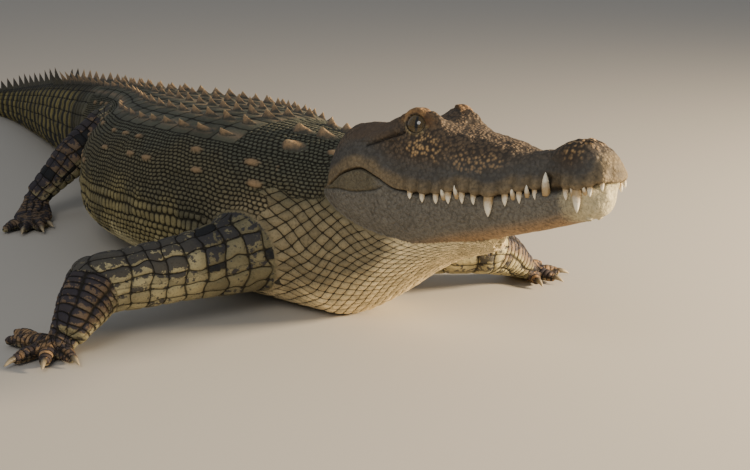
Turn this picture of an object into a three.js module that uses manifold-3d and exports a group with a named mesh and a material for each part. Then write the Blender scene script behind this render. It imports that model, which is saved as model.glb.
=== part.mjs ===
// A resting crocodile, modelled whole and parted with thin cuts.
// Millimetres, +Z up. The trunk heads along -Y, so the animal's left is +X. The floor is z = 0.

import * as THREE from 'three';
import { ConvexGeometry } from 'three/addons/geometries/ConvexGeometry.js';
import { LoftGeometry } from 'three/addons/geometries/LoftGeometry.js';
import * as BufferGeometryUtils from 'three/addons/utils/BufferGeometryUtils.js';
import Module from 'manifold-3d';

const wasm = await Module();
wasm.setup();

// ---- Driving dimensions -------------------------------------------------------------------------

const HEAD = 480; // rear of the skull table to the tip of the snout
const PART_GAP = 0.4; // clear width of every thin cut
const SINK = 4; // depth that the belly and tail are pressed flat on the floor
const NECK_RINGS = 9; // cross-sections of the neck
const TRUNK_BANDS = 17; // bands of scutes on the trunk
const TAIL_BANDS = 9; // bands of each length of the tail
const EVEN_OUT = 0.12; // how far facets may move where slivers are merged
const EVEN_JAW = 0.25; // the same on the jaws
const EVEN_FOOT = 1; // the same on the feet
const HIDE_SIDES = 18; // corners of a cross-section of the neck and trunk
const TAIL_SIDES = 12; // and of the tail

// How the head is carried: where the rear of the skull table is, and its three turns in degrees.
const HEAD_SEAT = new THREE.Vector3( 55, -256, 348 );
const HEAD_TURN = 13.1;
const HEAD_RAISE = 8.2;
const HEAD_LEAN = -3.1;
const TABLE_HEIGHT = 0.2; // height of the skull table over the jaw line, in head lengths

// The middle line in plan, from under the jaw to the tip of the tail.
const SHOULDER_KNOT = 2;
const MIDDLE_LINE = [
	[ 126, -560 ],
	[ 55, -256 ],
	[ 3, 0 ],
	[ 0, 350 ],
	[ 0, 700 ],
	[ 0, 1100 ],
	[ 0, 1500 ],
	[ 0, 1900 ],
	[ -14, 2250 ],
	[ -75, 2560 ],
	[ -160, 2800 ]
];

// Lengths along the middle line, measured back from the shoulders.
const THROAT_FRONT = -540;
const NECK_END = -70;
const TRUNK_END = 1060;
const TAIL_BASE_END = 1640;
const TAIL_MIDDLE_END = 2240;
const TAIL_TIP = 2790;

const HIDE_COLOUR = 0x5d5f4c;
const BELLY_COLOUR = 0xb9ad86;
const HORN_COLOUR = 0x3a352b;
const TOOTH_COLOUR = 0xe8dfc4;
const EYE_COLOUR = 0x6b5a2b;

// ---- Shared shape helpers -----------------------------------------------------------------------

// A smooth size that passes through each key [ place, value ] and never overshoots between two keys.
function profile( ...keys ) {

	const slopes = keys.map( ( key, i ) => {

		if ( i === 0 || i === keys.length - 1 ) return 0;
		const before = ( key[ 1 ] - keys[ i - 1 ][ 1 ] ) / ( key[ 0 ] - keys[ i - 1 ][ 0 ] );
		const after = ( keys[ i + 1 ][ 1 ] - key[ 1 ] ) / ( keys[ i + 1 ][ 0 ] - key[ 0 ] );
		return before * after <= 0 ? 0 : 2 * before * after / ( before + after );

	} );

	return ( place ) => {

		if ( place <= keys[ 0 ][ 0 ] ) return keys[ 0 ][ 1 ];
		if ( place >= keys.at( -1 )[ 0 ] ) return keys.at( -1 )[ 1 ];
		const i = keys.findIndex( ( key ) => key[ 0 ] > place ) - 1;
		const span = keys[ i + 1 ][ 0 ] - keys[ i ][ 0 ];
		const t = ( place - keys[ i ][ 0 ] ) / span;
		const start = ( 1 + 2 * t ) * ( 1 - t ) ** 2 * keys[ i ][ 1 ] + t * ( 1 - t ) ** 2 * span * slopes[ i ];
		const end = t * t * ( 3 - 2 * t ) * keys[ i + 1 ][ 1 ] - t * t * ( 1 - t ) * span * slopes[ i + 1 ];
		return start + end;

	};

}

// A signed power, which turns a circle's sine and cosine into a squarer or rounder oval.
function squared( value, squareness ) {

	return Math.sign( value ) * Math.abs( value ) ** ( 2 / squareness );

}

// Evenly spaced places from start to end, both included.
function places( start, end, count ) {

	return Array.from( { length: count }, ( _, i ) => start + ( end - start ) * i / ( count - 1 ) );

}

function solidOf( geometry ) {

	const bare = new THREE.BufferGeometry();
	bare.setAttribute( 'position', geometry.attributes.position );
	bare.setIndex( geometry.index );
	const merged = BufferGeometryUtils.mergeVertices( bare, 1e-4 );
	const mesh = new wasm.Mesh( {
		numProp: 3,
		vertProperties: new Float32Array( merged.attributes.position.array ),
		triVerts: new Uint32Array( merged.index.array )
	} );
	return new wasm.Manifold( mesh );

}

// The way that a ring of points turns round, as the normal of its plane.
function ringNormal( ring ) {

	const total = ring.reduce( ( sum, point ) => sum.add( point ), new THREE.Vector3() );
	const centre = total.divideScalar( ring.length );
	const normal = new THREE.Vector3();
	ring.forEach( ( point, i ) => {

		const next = ring[ ( i + 1 ) % ring.length ];
		normal.add( point.clone().sub( centre ).cross( next.clone().sub( centre ) ) );

	} );
	return { centre, normal };

}

// A closed solid through a row of cross-sections, which may turn either way round.
function loft( sections ) {

	const first = ringNormal( sections[ 0 ] );
	const onward = ringNormal( sections[ 1 ] ).centre.sub( first.centre );
	const turned = first.normal.dot( onward ) < 0;
	const rings = turned ? sections.map( ( section ) => [ ...section ].reverse() ) : sections;
	return solidOf( new LoftGeometry( rings, { capStart: true, capEnd: true } ) );

}

function joined( solids ) {

	return wasm.Manifold.union( solids );

}

// What lies ahead of a cut through a point, less half the width of the cut.
function keepAhead( solid, point, direction ) {

	const normal = direction.clone().normalize();
	return solid.trimByPlane( normal.toArray(), normal.dot( point ) + PART_GAP / 2 );

}

// The largest of the bodies that a cut leaves, without the slivers beside it.
function mainBody( solid ) {

	return solid.decompose().reduce( ( best, body ) => body.volume() > best.volume() ? body : best );

}

function onFloor( solid ) {

	return solid.trimByPlane( [ 0, 0, 1 ], 0 );

}

// ---- Neck, trunk and tail -----------------------------------------------------------------------

const middleLine = new THREE.CatmullRomCurve3(
	MIDDLE_LINE.map( ( [ x, y ] ) => new THREE.Vector3( x, y, 0 ) ), false, 'centripetal' );
middleLine.arcLengthDivisions = 900;
const lineLengths = middleLine.getLengths();
const lineLength = lineLengths.at( -1 );
const shoulderLength = lineLengths[ 900 * SHOULDER_KNOT / ( MIDDLE_LINE.length - 1 ) ];

// Half the width, and the heights of the back and the underside, along the middle line.
const bodyHalfWidth = profile(
	[ -540, 24 ], [ -480, 42 ], [ -400, 60 ], [ -330, 80 ], [ -256, 100 ], [ -180, 124 ], [ -70, 166 ], [ 60, 205 ],
	[ 220, 250 ], [ 400, 274 ], [ 560, 246 ], [ 700, 172 ], [ 800, 127 ], [ 900, 108 ], [ 1060, 104 ], [ 1300, 89 ],
	[ 1600, 70 ], [ 1900, 52 ], [ 2200, 36 ], [ 2500, 21 ], [ 2790, 7 ] );
const bodyTop = profile(
	[ -540, 205 ], [ -480, 215 ], [ -330, 262 ], [ -256, 310 ], [ -150, 320 ], [ 0, 326 ], [ 200, 320 ], [ 420, 308 ],
	[ 700, 294 ], [ 900, 284 ], [ 1060, 270 ], [ 1300, 246 ], [ 1600, 210 ], [ 1900, 166 ], [ 2200, 120 ],
	[ 2500, 74 ], [ 2790, 24 ] );
const bodyBottom = profile(
	[ -540, 172 ], [ -480, 158 ], [ -400, 120 ], [ -320, 66 ], [ -250, 22 ], [ -190, -SINK ], [ 760, -SINK ],
	[ 900, 6 ], [ 1060, 4 ], [ 1180, -SINK ], [ 2700, -SINK ], [ 2790, 0 ] );
const bodySquareness = profile( [ -540, 2 ], [ -200, 2.2 ], [ 300, 2.5 ], [ 900, 2.4 ], [ 1300, 2.3 ], [ 2790, 2.2 ] );
const PEAK_BACK = 0.22; // how far the peak of a keel leans back, in keel lengths
const KEEL_SINK = 7; // depth of a keel's corners in the hide
const KEEL_ROOT = 14; // and of its root
const WIDEST_HEIGHT = 0.43; // height of the widest level, as a part of the depth

// Where a length along the middle line lies, and the way across the body there.
function bodyPlace( along ) {

	const u = THREE.MathUtils.clamp( ( along + shoulderLength ) / lineLength, 0, 1 );
	const tangent = middleLine.getTangentAt( u );
	return { point: middleLine.getPointAt( u ), across: new THREE.Vector3( -tangent.y, tangent.x, 0 ).negate() };

}

// A point of the hide. The angle is 0 at the animal's left, 90 on the back and 270 on the belly.
function hidePoint( along, degrees, grown = 0 ) {

	const { point, across } = bodyPlace( along );
	const angle = THREE.MathUtils.degToRad( degrees );
	const top = bodyTop( along ) + grown;
	const bottom = bodyBottom( along ) - grown;
	const middle = bottom + WIDEST_HEIGHT * ( top - bottom );
	const rise = squared( Math.sin( angle ), bodySquareness( along ) );
	const height = rise > 0 ? middle + rise * ( top - middle ) : middle + rise * ( middle - bottom );
	const sideways = squared( Math.cos( angle ), bodySquareness( along ) ) * ( bodyHalfWidth( along ) + grown );
	return point.clone().addScaledVector( across, sideways ).setZ( height );

}

function bodyLength( start, end, count, grown = 0, sides = HIDE_SIDES ) {

	const angles = places( 0, 360, sides + 1 ).slice( 0, -1 );
	return loft( places( start, end, count ).map( ( along ) =>
		angles.map( ( degrees ) => hidePoint( along, degrees, grown ) ) ) );

}

// One keel of a scute: a four-sided peak on the hide, leaning back along the body.
function keel( along, degrees, length, width, height ) {

	const step = THREE.MathUtils.radToDeg( width / 2 / bodyHalfWidth( along ) );
	const front = hidePoint( along - length / 2, degrees, -KEEL_SINK );
	const rear = hidePoint( along + length / 2, degrees, -KEEL_SINK );
	const left = hidePoint( along, degrees - step, -KEEL_SINK );
	const right = hidePoint( along, degrees + step, -KEEL_SINK );
	const outward = rear.clone().sub( front ).cross( right.clone().sub( left ) ).normalize();
	if ( outward.z < 0 ) outward.negate();
	const peak = hidePoint( along + length * PEAK_BACK, degrees ).addScaledVector( outward, height );
	const root = hidePoint( along, degrees ).addScaledVector( outward, -KEEL_ROOT );
	return solidOf( new ConvexGeometry( [ front, left, rear, right, peak, root ] ) );

}

// ---- Scutes of the back -------------------------------------------------------------------------

// Each keel stands in the middle of one facet of the back.
const KEEL_ANGLES = [ 60, 80, 100, 120 ];
const backKeel = profile( [ -60, 18 ], [ 300, 19 ], [ 800, 17 ], [ 1060, 20 ] );

// The middle of each band of scutes between two places along the body.
function bandMiddles( start, end, bands ) {

	const pitch = ( end - start ) / bands;
	return places( start + pitch / 2, end - pitch / 2, bands );

}

const backKeels = bandMiddles( NECK_END, TRUNK_END, TRUNK_BANDS ).slice( 1 ).flatMap( ( along ) =>
	KEEL_ANGLES.map( ( degrees ) => keel( along, degrees, 60, 28, backKeel( along ) ) ) );

// The shield on the nape: four large keels and one small one at each side of them.
const napeKeels = [];
for ( const side of [ -1, 1 ] ) {

	napeKeels.push( keel( -150, 90 + side * 10, 52, 26, 17 ) );
	napeKeels.push( keel( -96, 90 + side * 10, 50, 26, 17 ) );
	napeKeels.push( keel( -120, 90 + side * 30, 42, 20, 14 ) );

}

// The tail carries a double row of fins that close up into one tall row.
const DOUBLE_CREST_END = 1640;
const finHeight = profile( [ 1060, 24 ], [ 1300, 35 ], [ 1600, 44 ], [ 1900, 46 ], [ 2300, 38 ], [ 2740, 14 ] );
const FIN_SPREAD = 15; // degrees from the middle of the tail to each row of the double crest

function tailFins( start, end ) {

	return bandMiddles( start, end, TAIL_BANDS ).flatMap( ( along ) => {

		const sides = along < DOUBLE_CREST_END ? [ -1, 1 ] : [ 0 ];
		return sides.map( ( side ) => keel( along, 90 + side * FIN_SPREAD, 62, 17, finHeight( along ) ) );

	} );

}

// ---- Head ---------------------------------------------------------------------------------------

const headFrame = new THREE.Matrix4();
{

	const heading = THREE.MathUtils.degToRad( HEAD_TURN );
	const raise = THREE.MathUtils.degToRad( HEAD_RAISE );
	const lean = THREE.MathUtils.degToRad( HEAD_LEAN );
	const ahead = new THREE.Vector3(
		Math.sin( heading ) * Math.cos( raise ), -Math.cos( heading ) * Math.cos( raise ), Math.sin( raise ) );
	const level = new THREE.Vector3( Math.cos( heading ), Math.sin( heading ), 0 );
	const upright = new THREE.Vector3().crossVectors( ahead, level );
	const left = level.clone().multiplyScalar( Math.cos( lean ) ).addScaledVector( upright, Math.sin( lean ) );
	const up = new THREE.Vector3().crossVectors( ahead, left );
	headFrame.makeBasis( ahead, left, up ).setPosition( HEAD_SEAT );

}

// A point of the head from its place in head lengths: ahead of the table's rear, left, over the jaw line.
function headPoint( ahead, left, up ) {

	return new THREE.Vector3( ahead, left, up - TABLE_HEIGHT ).multiplyScalar( HEAD ).applyMatrix4( headFrame );

}

// The wavy line where the jaws meet, with the notch for the fourth lower tooth and the smile behind.
const jawLine = profile(
	[ -0.14, -0.012 ], [ -0.063, 0.007 ], [ 0.027, 0.05 ], [ 0.096, 0.062 ], [ 0.17, 0.03 ], [ 0.244, -0.01 ],
	[ 0.391, -0.03 ], [ 0.491, -0.02 ], [ 0.616, -0.034 ], [ 0.675, -0.026 ], [ 0.72, -0.018 ], [ 0.808, -0.01 ],
	[ 0.893, -0.008 ], [ 0.933, -0.009 ], [ 0.98, 0.001 ], [ 1.03, 0.014 ] );
const upperHalfWidth = profile(
	[ -0.12, 0.15 ], [ -0.07, 0.197 ], [ 0.03, 0.205 ], [ 0.1, 0.199 ], [ 0.244, 0.176 ], [ 0.39, 0.154 ],
	[ 0.5, 0.14 ], [ 0.616, 0.127 ], [ 0.7, 0.1 ], [ 0.808, 0.069 ], [ 0.87, 0.079 ], [ 0.933, 0.083 ],
	[ 0.98, 0.07 ], [ 1.012, 0.045 ], [ 1.03, 0.014 ] );
const tableHalfWidth = profile(
	[ -0.12, 0.09 ], [ 0, 0.112 ], [ 0.18, 0.112 ], [ 0.3, 0.102 ], [ 0.4, 0.084 ], [ 0.5, 0.06 ], [ 0.62, 0.047 ],
	[ 0.8, 0.032 ], [ 0.88, 0.042 ], [ 0.96, 0.036 ], [ 1.03, 0.008 ] );
const tableEdgeHeight = profile(
	[ -0.12, 0.1 ], [ -0.03, 0.192 ], [ 0.02, 0.207 ], [ 0.16, 0.208 ], [ 0.22, 0.222 ], [ 0.3, 0.245 ],
	[ 0.36, 0.234 ], [ 0.412, 0.188 ], [ 0.5, 0.16 ], [ 0.564, 0.142 ], [ 0.647, 0.121 ], [ 0.728, 0.1 ],
	[ 0.8, 0.105 ], [ 0.882, 0.134 ], [ 0.959, 0.114 ], [ 1, 0.092 ], [ 1.03, 0.056 ] );
const crownHeight = profile(
	[ -0.12, 0.11 ], [ -0.03, 0.196 ], [ 0.02, 0.205 ], [ 0.2, 0.202 ], [ 0.3, 0.205 ], [ 0.412, 0.187 ],
	[ 0.509, 0.167 ], [ 0.564, 0.151 ], [ 0.647, 0.13 ], [ 0.728, 0.108 ], [ 0.8, 0.112 ], [ 0.882, 0.14 ],
	[ 0.959, 0.121 ], [ 1, 0.098 ], [ 1.03, 0.058 ] );
const cheekSquareness = profile( [ -0.12, 2 ], [ 0.1, 1.7 ], [ 0.3, 1.75 ], [ 0.5, 2.1 ], [ 1, 2.3 ] );
const lowerHalfWidth = profile(
	[ -0.155, 0.11 ], [ -0.1, 0.192 ], [ 0, 0.21 ], [ 0.1, 0.2 ], [ 0.244, 0.168 ], [ 0.39, 0.145 ], [ 0.5, 0.13 ],
	[ 0.616, 0.114 ], [ 0.72, 0.089 ], [ 0.8, 0.075 ], [ 0.88, 0.075 ], [ 0.93, 0.072 ], [ 0.97, 0.059 ],
	[ 1, 0.03 ] );
const jawUnderside = profile(
	[ -0.155, -0.06 ], [ -0.096, -0.125 ], [ -0.005, -0.192 ], [ 0.1, -0.226 ], [ 0.229, -0.228 ], [ 0.39, -0.2 ],
	[ 0.629, -0.16 ], [ 0.767, -0.135 ], [ 0.915, -0.103 ], [ 0.975, -0.084 ], [ 1, -0.05 ] );

// Angles in degrees across one half of a cheek, from the jaw line up, and steps across half the crown.
const CHEEK_ANGLES = [ 0, 22, 45, 68, 90 ];
const CROWN_STEPS = [ 0.5, 1 ];
const JAW_ANGLES = [ 0, 28, 58, 90 ];

function upperSection( ahead, grown ) {

	const margin = jawLine( ahead );
	const edge = tableHalfWidth( ahead );
	const spare = upperHalfWidth( ahead ) - edge + grown;
	const rise = tableEdgeHeight( ahead ) - margin + grown;
	const half = CHEEK_ANGLES.map( ( degrees ) => {

		const angle = THREE.MathUtils.degToRad( degrees );
		const out = edge + spare * squared( Math.cos( angle ), cheekSquareness( ahead ) );
		return [ out, margin + rise * squared( Math.sin( angle ), cheekSquareness( ahead ) ) ];

	} );
	for ( const step of CROWN_STEPS ) {

		const blend = step * step * ( 3 - 2 * step );
		const height = tableEdgeHeight( ahead ) * ( 1 - blend ) + crownHeight( ahead ) * blend;
		half.push( [ edge * ( 1 - step ), height + grown ] );

	}

	const mirrored = half.slice( 0, -1 ).reverse().map( ( [ out, up ] ) => [ -out, up ] );
	const seat = ahead > UPPER_PLACES[ 0 ] ? ahead : ahead - grown;
	return [ ...half, ...mirrored ].map( ( [ out, up ] ) => headPoint( seat, out, up ) );

}

// A grown lower jaw also rises past the gap of the mouth, so that nothing of the neck fills it.
function lowerSection( ahead, grown ) {

	const margin = jawLine( ahead ) - MOUTH_GAP / HEAD;
	const depth = margin - jawUnderside( ahead ) + grown;
	const half = JAW_ANGLES.map( ( degrees ) => {

		const angle = THREE.MathUtils.degToRad( degrees );
		const out = ( lowerHalfWidth( ahead ) + grown ) * squared( Math.cos( angle ), 2.4 );
		const lift = degrees === 0 ? 2 * grown : 0;
		return [ out, margin + lift - depth * squared( Math.sin( angle ), 2.2 ) ];

	} );
	const mirrored = half.slice( 0, -1 ).reverse().map( ( [ out, up ] ) => [ -out, up ] );
	const seat = ahead > LOWER_PLACES[ 0 ] ? ahead : ahead - grown;
	return [ ...half, ...mirrored ].map( ( [ out, up ] ) => headPoint( seat, out, up ) );

}

const MOUTH_GAP = 1; // clear height between the closed jaws
const HEAD_ROOM = 0.8; // clear width between the head and the neck
// Both jaws share these places, so that their facets meet along the mouth.
const JAW_PLACES = [
	-0.12, -0.07, -0.02, 0.03, 0.1, 0.17, 0.22, 0.26, 0.3, 0.34, 0.38, 0.43, 0.5, 0.56, 0.616, 0.66,
	0.72, 0.77, 0.81, 0.85, 0.89, 0.933, 0.97, 1 ];
const UPPER_PLACES = [ ...JAW_PLACES, 1.03 ];
const LOWER_PLACES = [ -0.155, ...JAW_PLACES ];

function upperJaw( grown = 0 ) {

	return loft( UPPER_PLACES.map( ( ahead ) => upperSection( ahead, grown / HEAD ) ) );

}

function lowerJaw( grown = 0 ) {

	return loft( LOWER_PLACES.map( ( ahead ) => lowerSection( ahead, grown / HEAD ) ) );

}

// Teeth of one side, each [ place ahead, length in mm, thickness at the root in mm ].
const ROOT_INSET = 0.3; // how far inside the margin a root sits, in tooth thicknesses
const TIP_OUTSET = 0.1; // how far outside the upper margin a tip ends, in tooth thicknesses
const ROOT_DEPTH = 7; // depth of a root in its jaw, in millimetres
const ROOT_BACK = 0.004; // how far a root lies behind its tip, in head lengths
const UPPER_TEETH = [
	[ 1.005, 9, 7 ], [ 0.975, 12, 8 ], [ 0.935, 30, 14 ], [ 0.893, 13, 9 ], [ 0.768, 12, 8 ], [ 0.72, 15, 9 ],
	[ 0.675, 15, 10 ], [ 0.62, 27, 15 ], [ 0.565, 12, 9 ], [ 0.52, 14, 10 ], [ 0.465, 15, 11 ], [ 0.415, 12, 10 ],
	[ 0.36, 10, 10 ], [ 0.31, 8, 9 ] ];
const LOWER_TEETH = [
	[ 0.955, 11, 7 ], [ 0.915, 10, 7 ], [ 0.81, 27, 13 ], [ 0.744, 11, 8 ], [ 0.697, 11, 8 ], [ 0.492, 13, 9 ],
	[ 0.44, 11, 9 ] ];

// A tooth stands on the margin of its jaw and leans out past the other. Sense is -1 downward.
function tooth( ahead, length, thickness, side, sense, grown ) {

	const widthOf = sense < 0 ? upperHalfWidth : lowerHalfWidth;
	const rootOut = widthOf( ahead ) - ROOT_INSET * thickness / HEAD;
	const tipOut = upperHalfWidth( ahead ) + TIP_OUTSET * thickness / HEAD;
	const root = headPoint( ahead - ROOT_BACK, side * rootOut, jawLine( ahead ) - sense * ROOT_DEPTH / HEAD );
	const tip = headPoint( ahead, side * tipOut, jawLine( ahead ) + sense * length / HEAD );
	const axis = tip.clone().sub( root );
	const cone = new THREE.ConeGeometry( thickness / 2 + grown, axis.length() + 3 * grown, 4 );
	cone.applyQuaternion( new THREE.Quaternion().setFromUnitVectors(
		new THREE.Vector3( 0, 1, 0 ), axis.clone().normalize() ) );
	cone.translate( ...root.clone().addScaledVector( axis, 0.5 ).toArray() );
	return solidOf( cone );

}

function toothRow( teeth, sense, grown = 0 ) {

	const rows = [ -1, 1 ].map( ( side ) => teeth.map( ( [ ahead, length, thickness ] ) =>
		tooth( ahead, length, thickness, side, sense, grown ) ) );
	return joined( rows.flat() );

}

const EYE_RADIUS = 20.5;
const EYE_AT = [ 0.298, 0.094, 0.194 ];

function eyeball( side, grown = 0 ) {

	const ball = new THREE.SphereGeometry( EYE_RADIUS + grown, 8, 6 );
	ball.translate( ...headPoint( EYE_AT[ 0 ], side * EYE_AT[ 1 ], EYE_AT[ 2 ] ).toArray() );
	return solidOf( ball );

}

// ---- Legs ---------------------------------------------------------------------------------------

const LIMB_SIDES = 8;

// A tapering limb through a few stations [ x, y, z, half width, half height ], level across.
function limb( stations, sides = LIMB_SIDES, rings = 5 ) {

	const keys = ( column ) => profile( ...stations.map( ( station, i ) => [ i, station[ column ] ] ) );
	const columns = [ 0, 1, 2, 3, 4 ].map( keys );
	const spine = places( 0, stations.length - 1, rings ).map( ( t ) => columns.map( ( column ) => column( t ) ) );
	const line = new THREE.CatmullRomCurve3( stations.map( ( [ x, y, z ] ) => new THREE.Vector3( x, y, z ) ) );
	return loft( spine.map( ( [ , , , halfWidth, halfHeight ], i ) => {

		const t = i / ( rings - 1 );
		const centre = line.getPoint( t );
		const ahead = line.getTangent( t );
		const across = new THREE.Vector3( -ahead.y, ahead.x, 0 ).normalize();
		const up = new THREE.Vector3().crossVectors( ahead, across ).normalize();
		return places( 0, 2 * Math.PI, sides + 1 ).slice( 0, -1 ).map( ( angle ) =>
			centre.clone()
				.addScaledVector( across, Math.cos( angle ) * halfWidth )
				.addScaledVector( up, Math.sin( angle ) * halfHeight ) );

	} ) );

}

// A claw bends down from the end of its toe.
function claw( tip, heading, size, grown = 0 ) {

	const ahead = new THREE.Vector3( Math.cos( heading ), Math.sin( heading ), 0 );
	const at = ( forward, up ) =>
		tip.clone().addScaledVector( ahead, forward * size ).add( new THREE.Vector3( 0, 0, up ) );
	const root = at( -0.35, 1 );
	const bend = at( 0.35, 1 );
	const point = at( 1, -size * 0.18 );
	return limb( [
		[ ...root.toArray(), size * 0.22 + grown, size * 0.26 + grown ],
		[ ...bend.toArray(), size * 0.19 + grown, size * 0.22 + grown ],
		[ ...point.toArray(), 1.2 + grown, 1.2 + grown ]
	], 4, 3 );

}

const TOE_HEIGHT = 11; // height of the toe ends over the floor
const CLAW_LENGTH = 1.7; // length of a claw, in toe sizes

// A foot is a flat palm with spread toes. Each toe is [ heading in degrees, length, has a claw ].
function foot( ankle, palm, toes, palmSize, toeSize ) {

	const sole = limb( [
		[ ankle.x, ankle.y, ankle.z, palmSize * 0.62, 22 ],
		[ ( ankle.x + palm.x ) / 2, ( ankle.y + palm.y ) / 2, 21, palmSize * 0.85, 21 ],
		[ palm.x, palm.y, 13, palmSize, 15 ],
		[ palm.x * 2 - ( ankle.x + palm.x ) / 2, palm.y * 2 - ( ankle.y + palm.y ) / 2, 10, palmSize * 0.8, 11 ]
	], 6, 4 );
	const spread = [];
	const claws = [];
	for ( const [ degrees, length, clawed ] of toes ) {

		const heading = THREE.MathUtils.degToRad( degrees );
		const ahead = new THREE.Vector3( Math.cos( heading ), Math.sin( heading ), 0 );
		const at = ( part ) => palm.clone().addScaledVector( ahead, length * part );
		const [ root, knuckle, end ] = [ at( 0.3 ), at( 0.65 ), at( 1 ) ];
		spread.push( limb( [
			[ root.x, root.y, 14, toeSize * 1.25, toeSize * 1.2 ],
			[ knuckle.x, knuckle.y, 13, toeSize, toeSize ],
			[ end.x, end.y, TOE_HEIGHT - 1, toeSize * 0.72, toeSize * 0.8 ]
		], 4, 3 ) );
		if ( clawed ) claws.push( [ new THREE.Vector3( end.x, end.y, TOE_HEIGHT ), heading, toeSize * CLAW_LENGTH ] );

	}

	return { sole, spread: joined( spread ), claws };

}

// Joints of each leg, in millimetres. A joint of the right side has a negative x.
const FORE = {
	right: {
		root: [ -84, -98, 116 ], elbow: [ -408, -118, 96 ], wrist: [ -475, -174, 37 ], palm: [ -495, -142, 0 ],
		toes: [ [ -79, 78, true ], [ -113, 76, true ], [ 208, 78, true ], [ 132, 86, false ], [ 111, 100, false ] ]
	},
	left: {
		root: [ 84, -98, 116 ], elbow: [ 310, -198, 86 ], wrist: [ 408, -182, 33 ], palm: [ 428, -160, 0 ],
		toes: [ [ -101, 72, true ], [ -67, 72, true ], [ -28, 72, true ], [ 24, 66, false ], [ 54, 66, false ] ]
	}
};
const HIND = {
	right: {
		root: [ -66, 930, 150 ], knee: [ -110, 800, 208 ], ankle: [ -290, 795, 50 ], palm: [ -315, 740, 0 ],
		toes: [ [ -72, 66, true ], [ -92, 100, true ], [ -114, 104, true ], [ -138, 108, false ] ]
	},
	left: {
		root: [ 66, 930, 150 ], knee: [ 110, 800, 208 ], ankle: [ 290, 795, 50 ], palm: [ 315, 740, 0 ],
		toes: [ [ -108, 66, true ], [ -88, 100, true ], [ -66, 104, true ], [ -42, 108, false ] ]
	}
};

const at = ( place ) => new THREE.Vector3( ...place );

function between( a, b, part, lift = 0 ) {

	return [ 0, 1, 2 ].map( ( i ) => a[ i ] + ( b[ i ] - a[ i ] ) * part + ( i === 2 ? lift : 0 ) );

}

// The thick upper length, the thinner lower length and the foot, cut at the bend and at the foot.
function leg( root, bend, end, girth, footParts ) {

	const upper = limb( [
		[ ...root, girth[ 0 ], girth[ 1 ] ],
		[ ...between( root, bend, 0.5, - 4 ), girth[ 2 ], girth[ 3 ] ],
		[ ...bend, girth[ 4 ], girth[ 4 ] * 1.05 ]
	] );
	const elbow = solidOf( new THREE.IcosahedronGeometry( girth[ 4 ] * 1.03, 1 ).translate( ...bend ) );
	const lower = limb( [
		[ ...bend, girth[ 4 ], girth[ 4 ] ],
		[ ...between( bend, end, 0.45, 4 ), girth[ 5 ], girth[ 5 ] * 0.95 ],
		[ ...end, girth[ 6 ], girth[ 6 ] * 0.8 ]
	] );
	const downUpper = at( bend ).sub( at( root ) ).normalize();
	const downLower = at( end ).sub( at( bend ) ).normalize();
	const bendCut = downUpper.clone().add( downLower ).normalize();
	const footCut = downLower.clone().setZ( 0 ).normalize().add( downLower ).normalize();
	const reach = keepAhead( joined( [ elbow, lower ] ), at( bend ), bendCut );
	return {
		upper: keepAhead( joined( [ upper, elbow ] ), at( bend ), bendCut.clone().negate() ),
		lower: keepAhead( reach, at( end ), footCut.clone().negate() ),
		foot: keepAhead( reach.add( footParts.sole ), at( end ), footCut ).add( footParts.spread )
	};

}

// ---- Assembly -----------------------------------------------------------------------------------

const group = new THREE.Group();

const materials = {
	hide: { color: HIDE_COLOUR, roughness: 0.72, metalness: 0 },
	jaw: { color: BELLY_COLOUR, roughness: 0.7, metalness: 0 },
	claw: { color: HORN_COLOUR, roughness: 0.45, metalness: 0 },
	eye: { color: EYE_COLOUR, roughness: 0.08, metalness: 0 }
};

function addNode( name, solid, material ) {

	const { numProp, vertProperties, triVerts } = mainBody( solid ).simplify( EVEN_OUT ).getMesh();
	const positions = new Float32Array( vertProperties.length / numProp * 3 );
	for ( let i = 0; i < positions.length / 3; i ++ ) {

		positions.set( vertProperties.subarray( i * numProp, i * numProp + 3 ), i * 3 );

	}

	const geometry = new THREE.BufferGeometry();
	geometry.setAttribute( 'position', new THREE.BufferAttribute( positions, 3 ) );
	geometry.setIndex( new THREE.BufferAttribute( new Uint32Array( triVerts ), 1 ) );
	geometry.computeVertexNormals();
	const mesh = new THREE.Mesh( geometry, new THREE.MeshStandardMaterial( materials[ material ] ) );
	mesh.name = name;
	group.add( mesh );

}

const upperTeeth = toothRow( UPPER_TEETH, -1 );
const lowerTeeth = toothRow( LOWER_TEETH, 1 );
const eyeSockets = joined( [ eyeball( -1, PART_GAP ), eyeball( 1, PART_GAP ) ] );
const lowerToothRoom = toothRow( LOWER_TEETH, 1, PART_GAP );
const upperToothRoom = toothRow( UPPER_TEETH, -1, PART_GAP );
const headUpper = upperJaw().simplify( EVEN_JAW ).add( upperTeeth ).subtract( lowerToothRoom )
	.subtract( eyeSockets );
const headLower = lowerJaw().simplify( EVEN_JAW ).add( lowerTeeth ).subtract( upperToothRoom );
addNode( 'head_upper', headUpper, 'hide' );
addNode( 'lower_jaw', headLower, 'jaw' );
addNode( 'eye_right', eyeball( -1 ), 'eye' );
addNode( 'eye_left', eyeball( 1 ), 'eye' );

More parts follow.
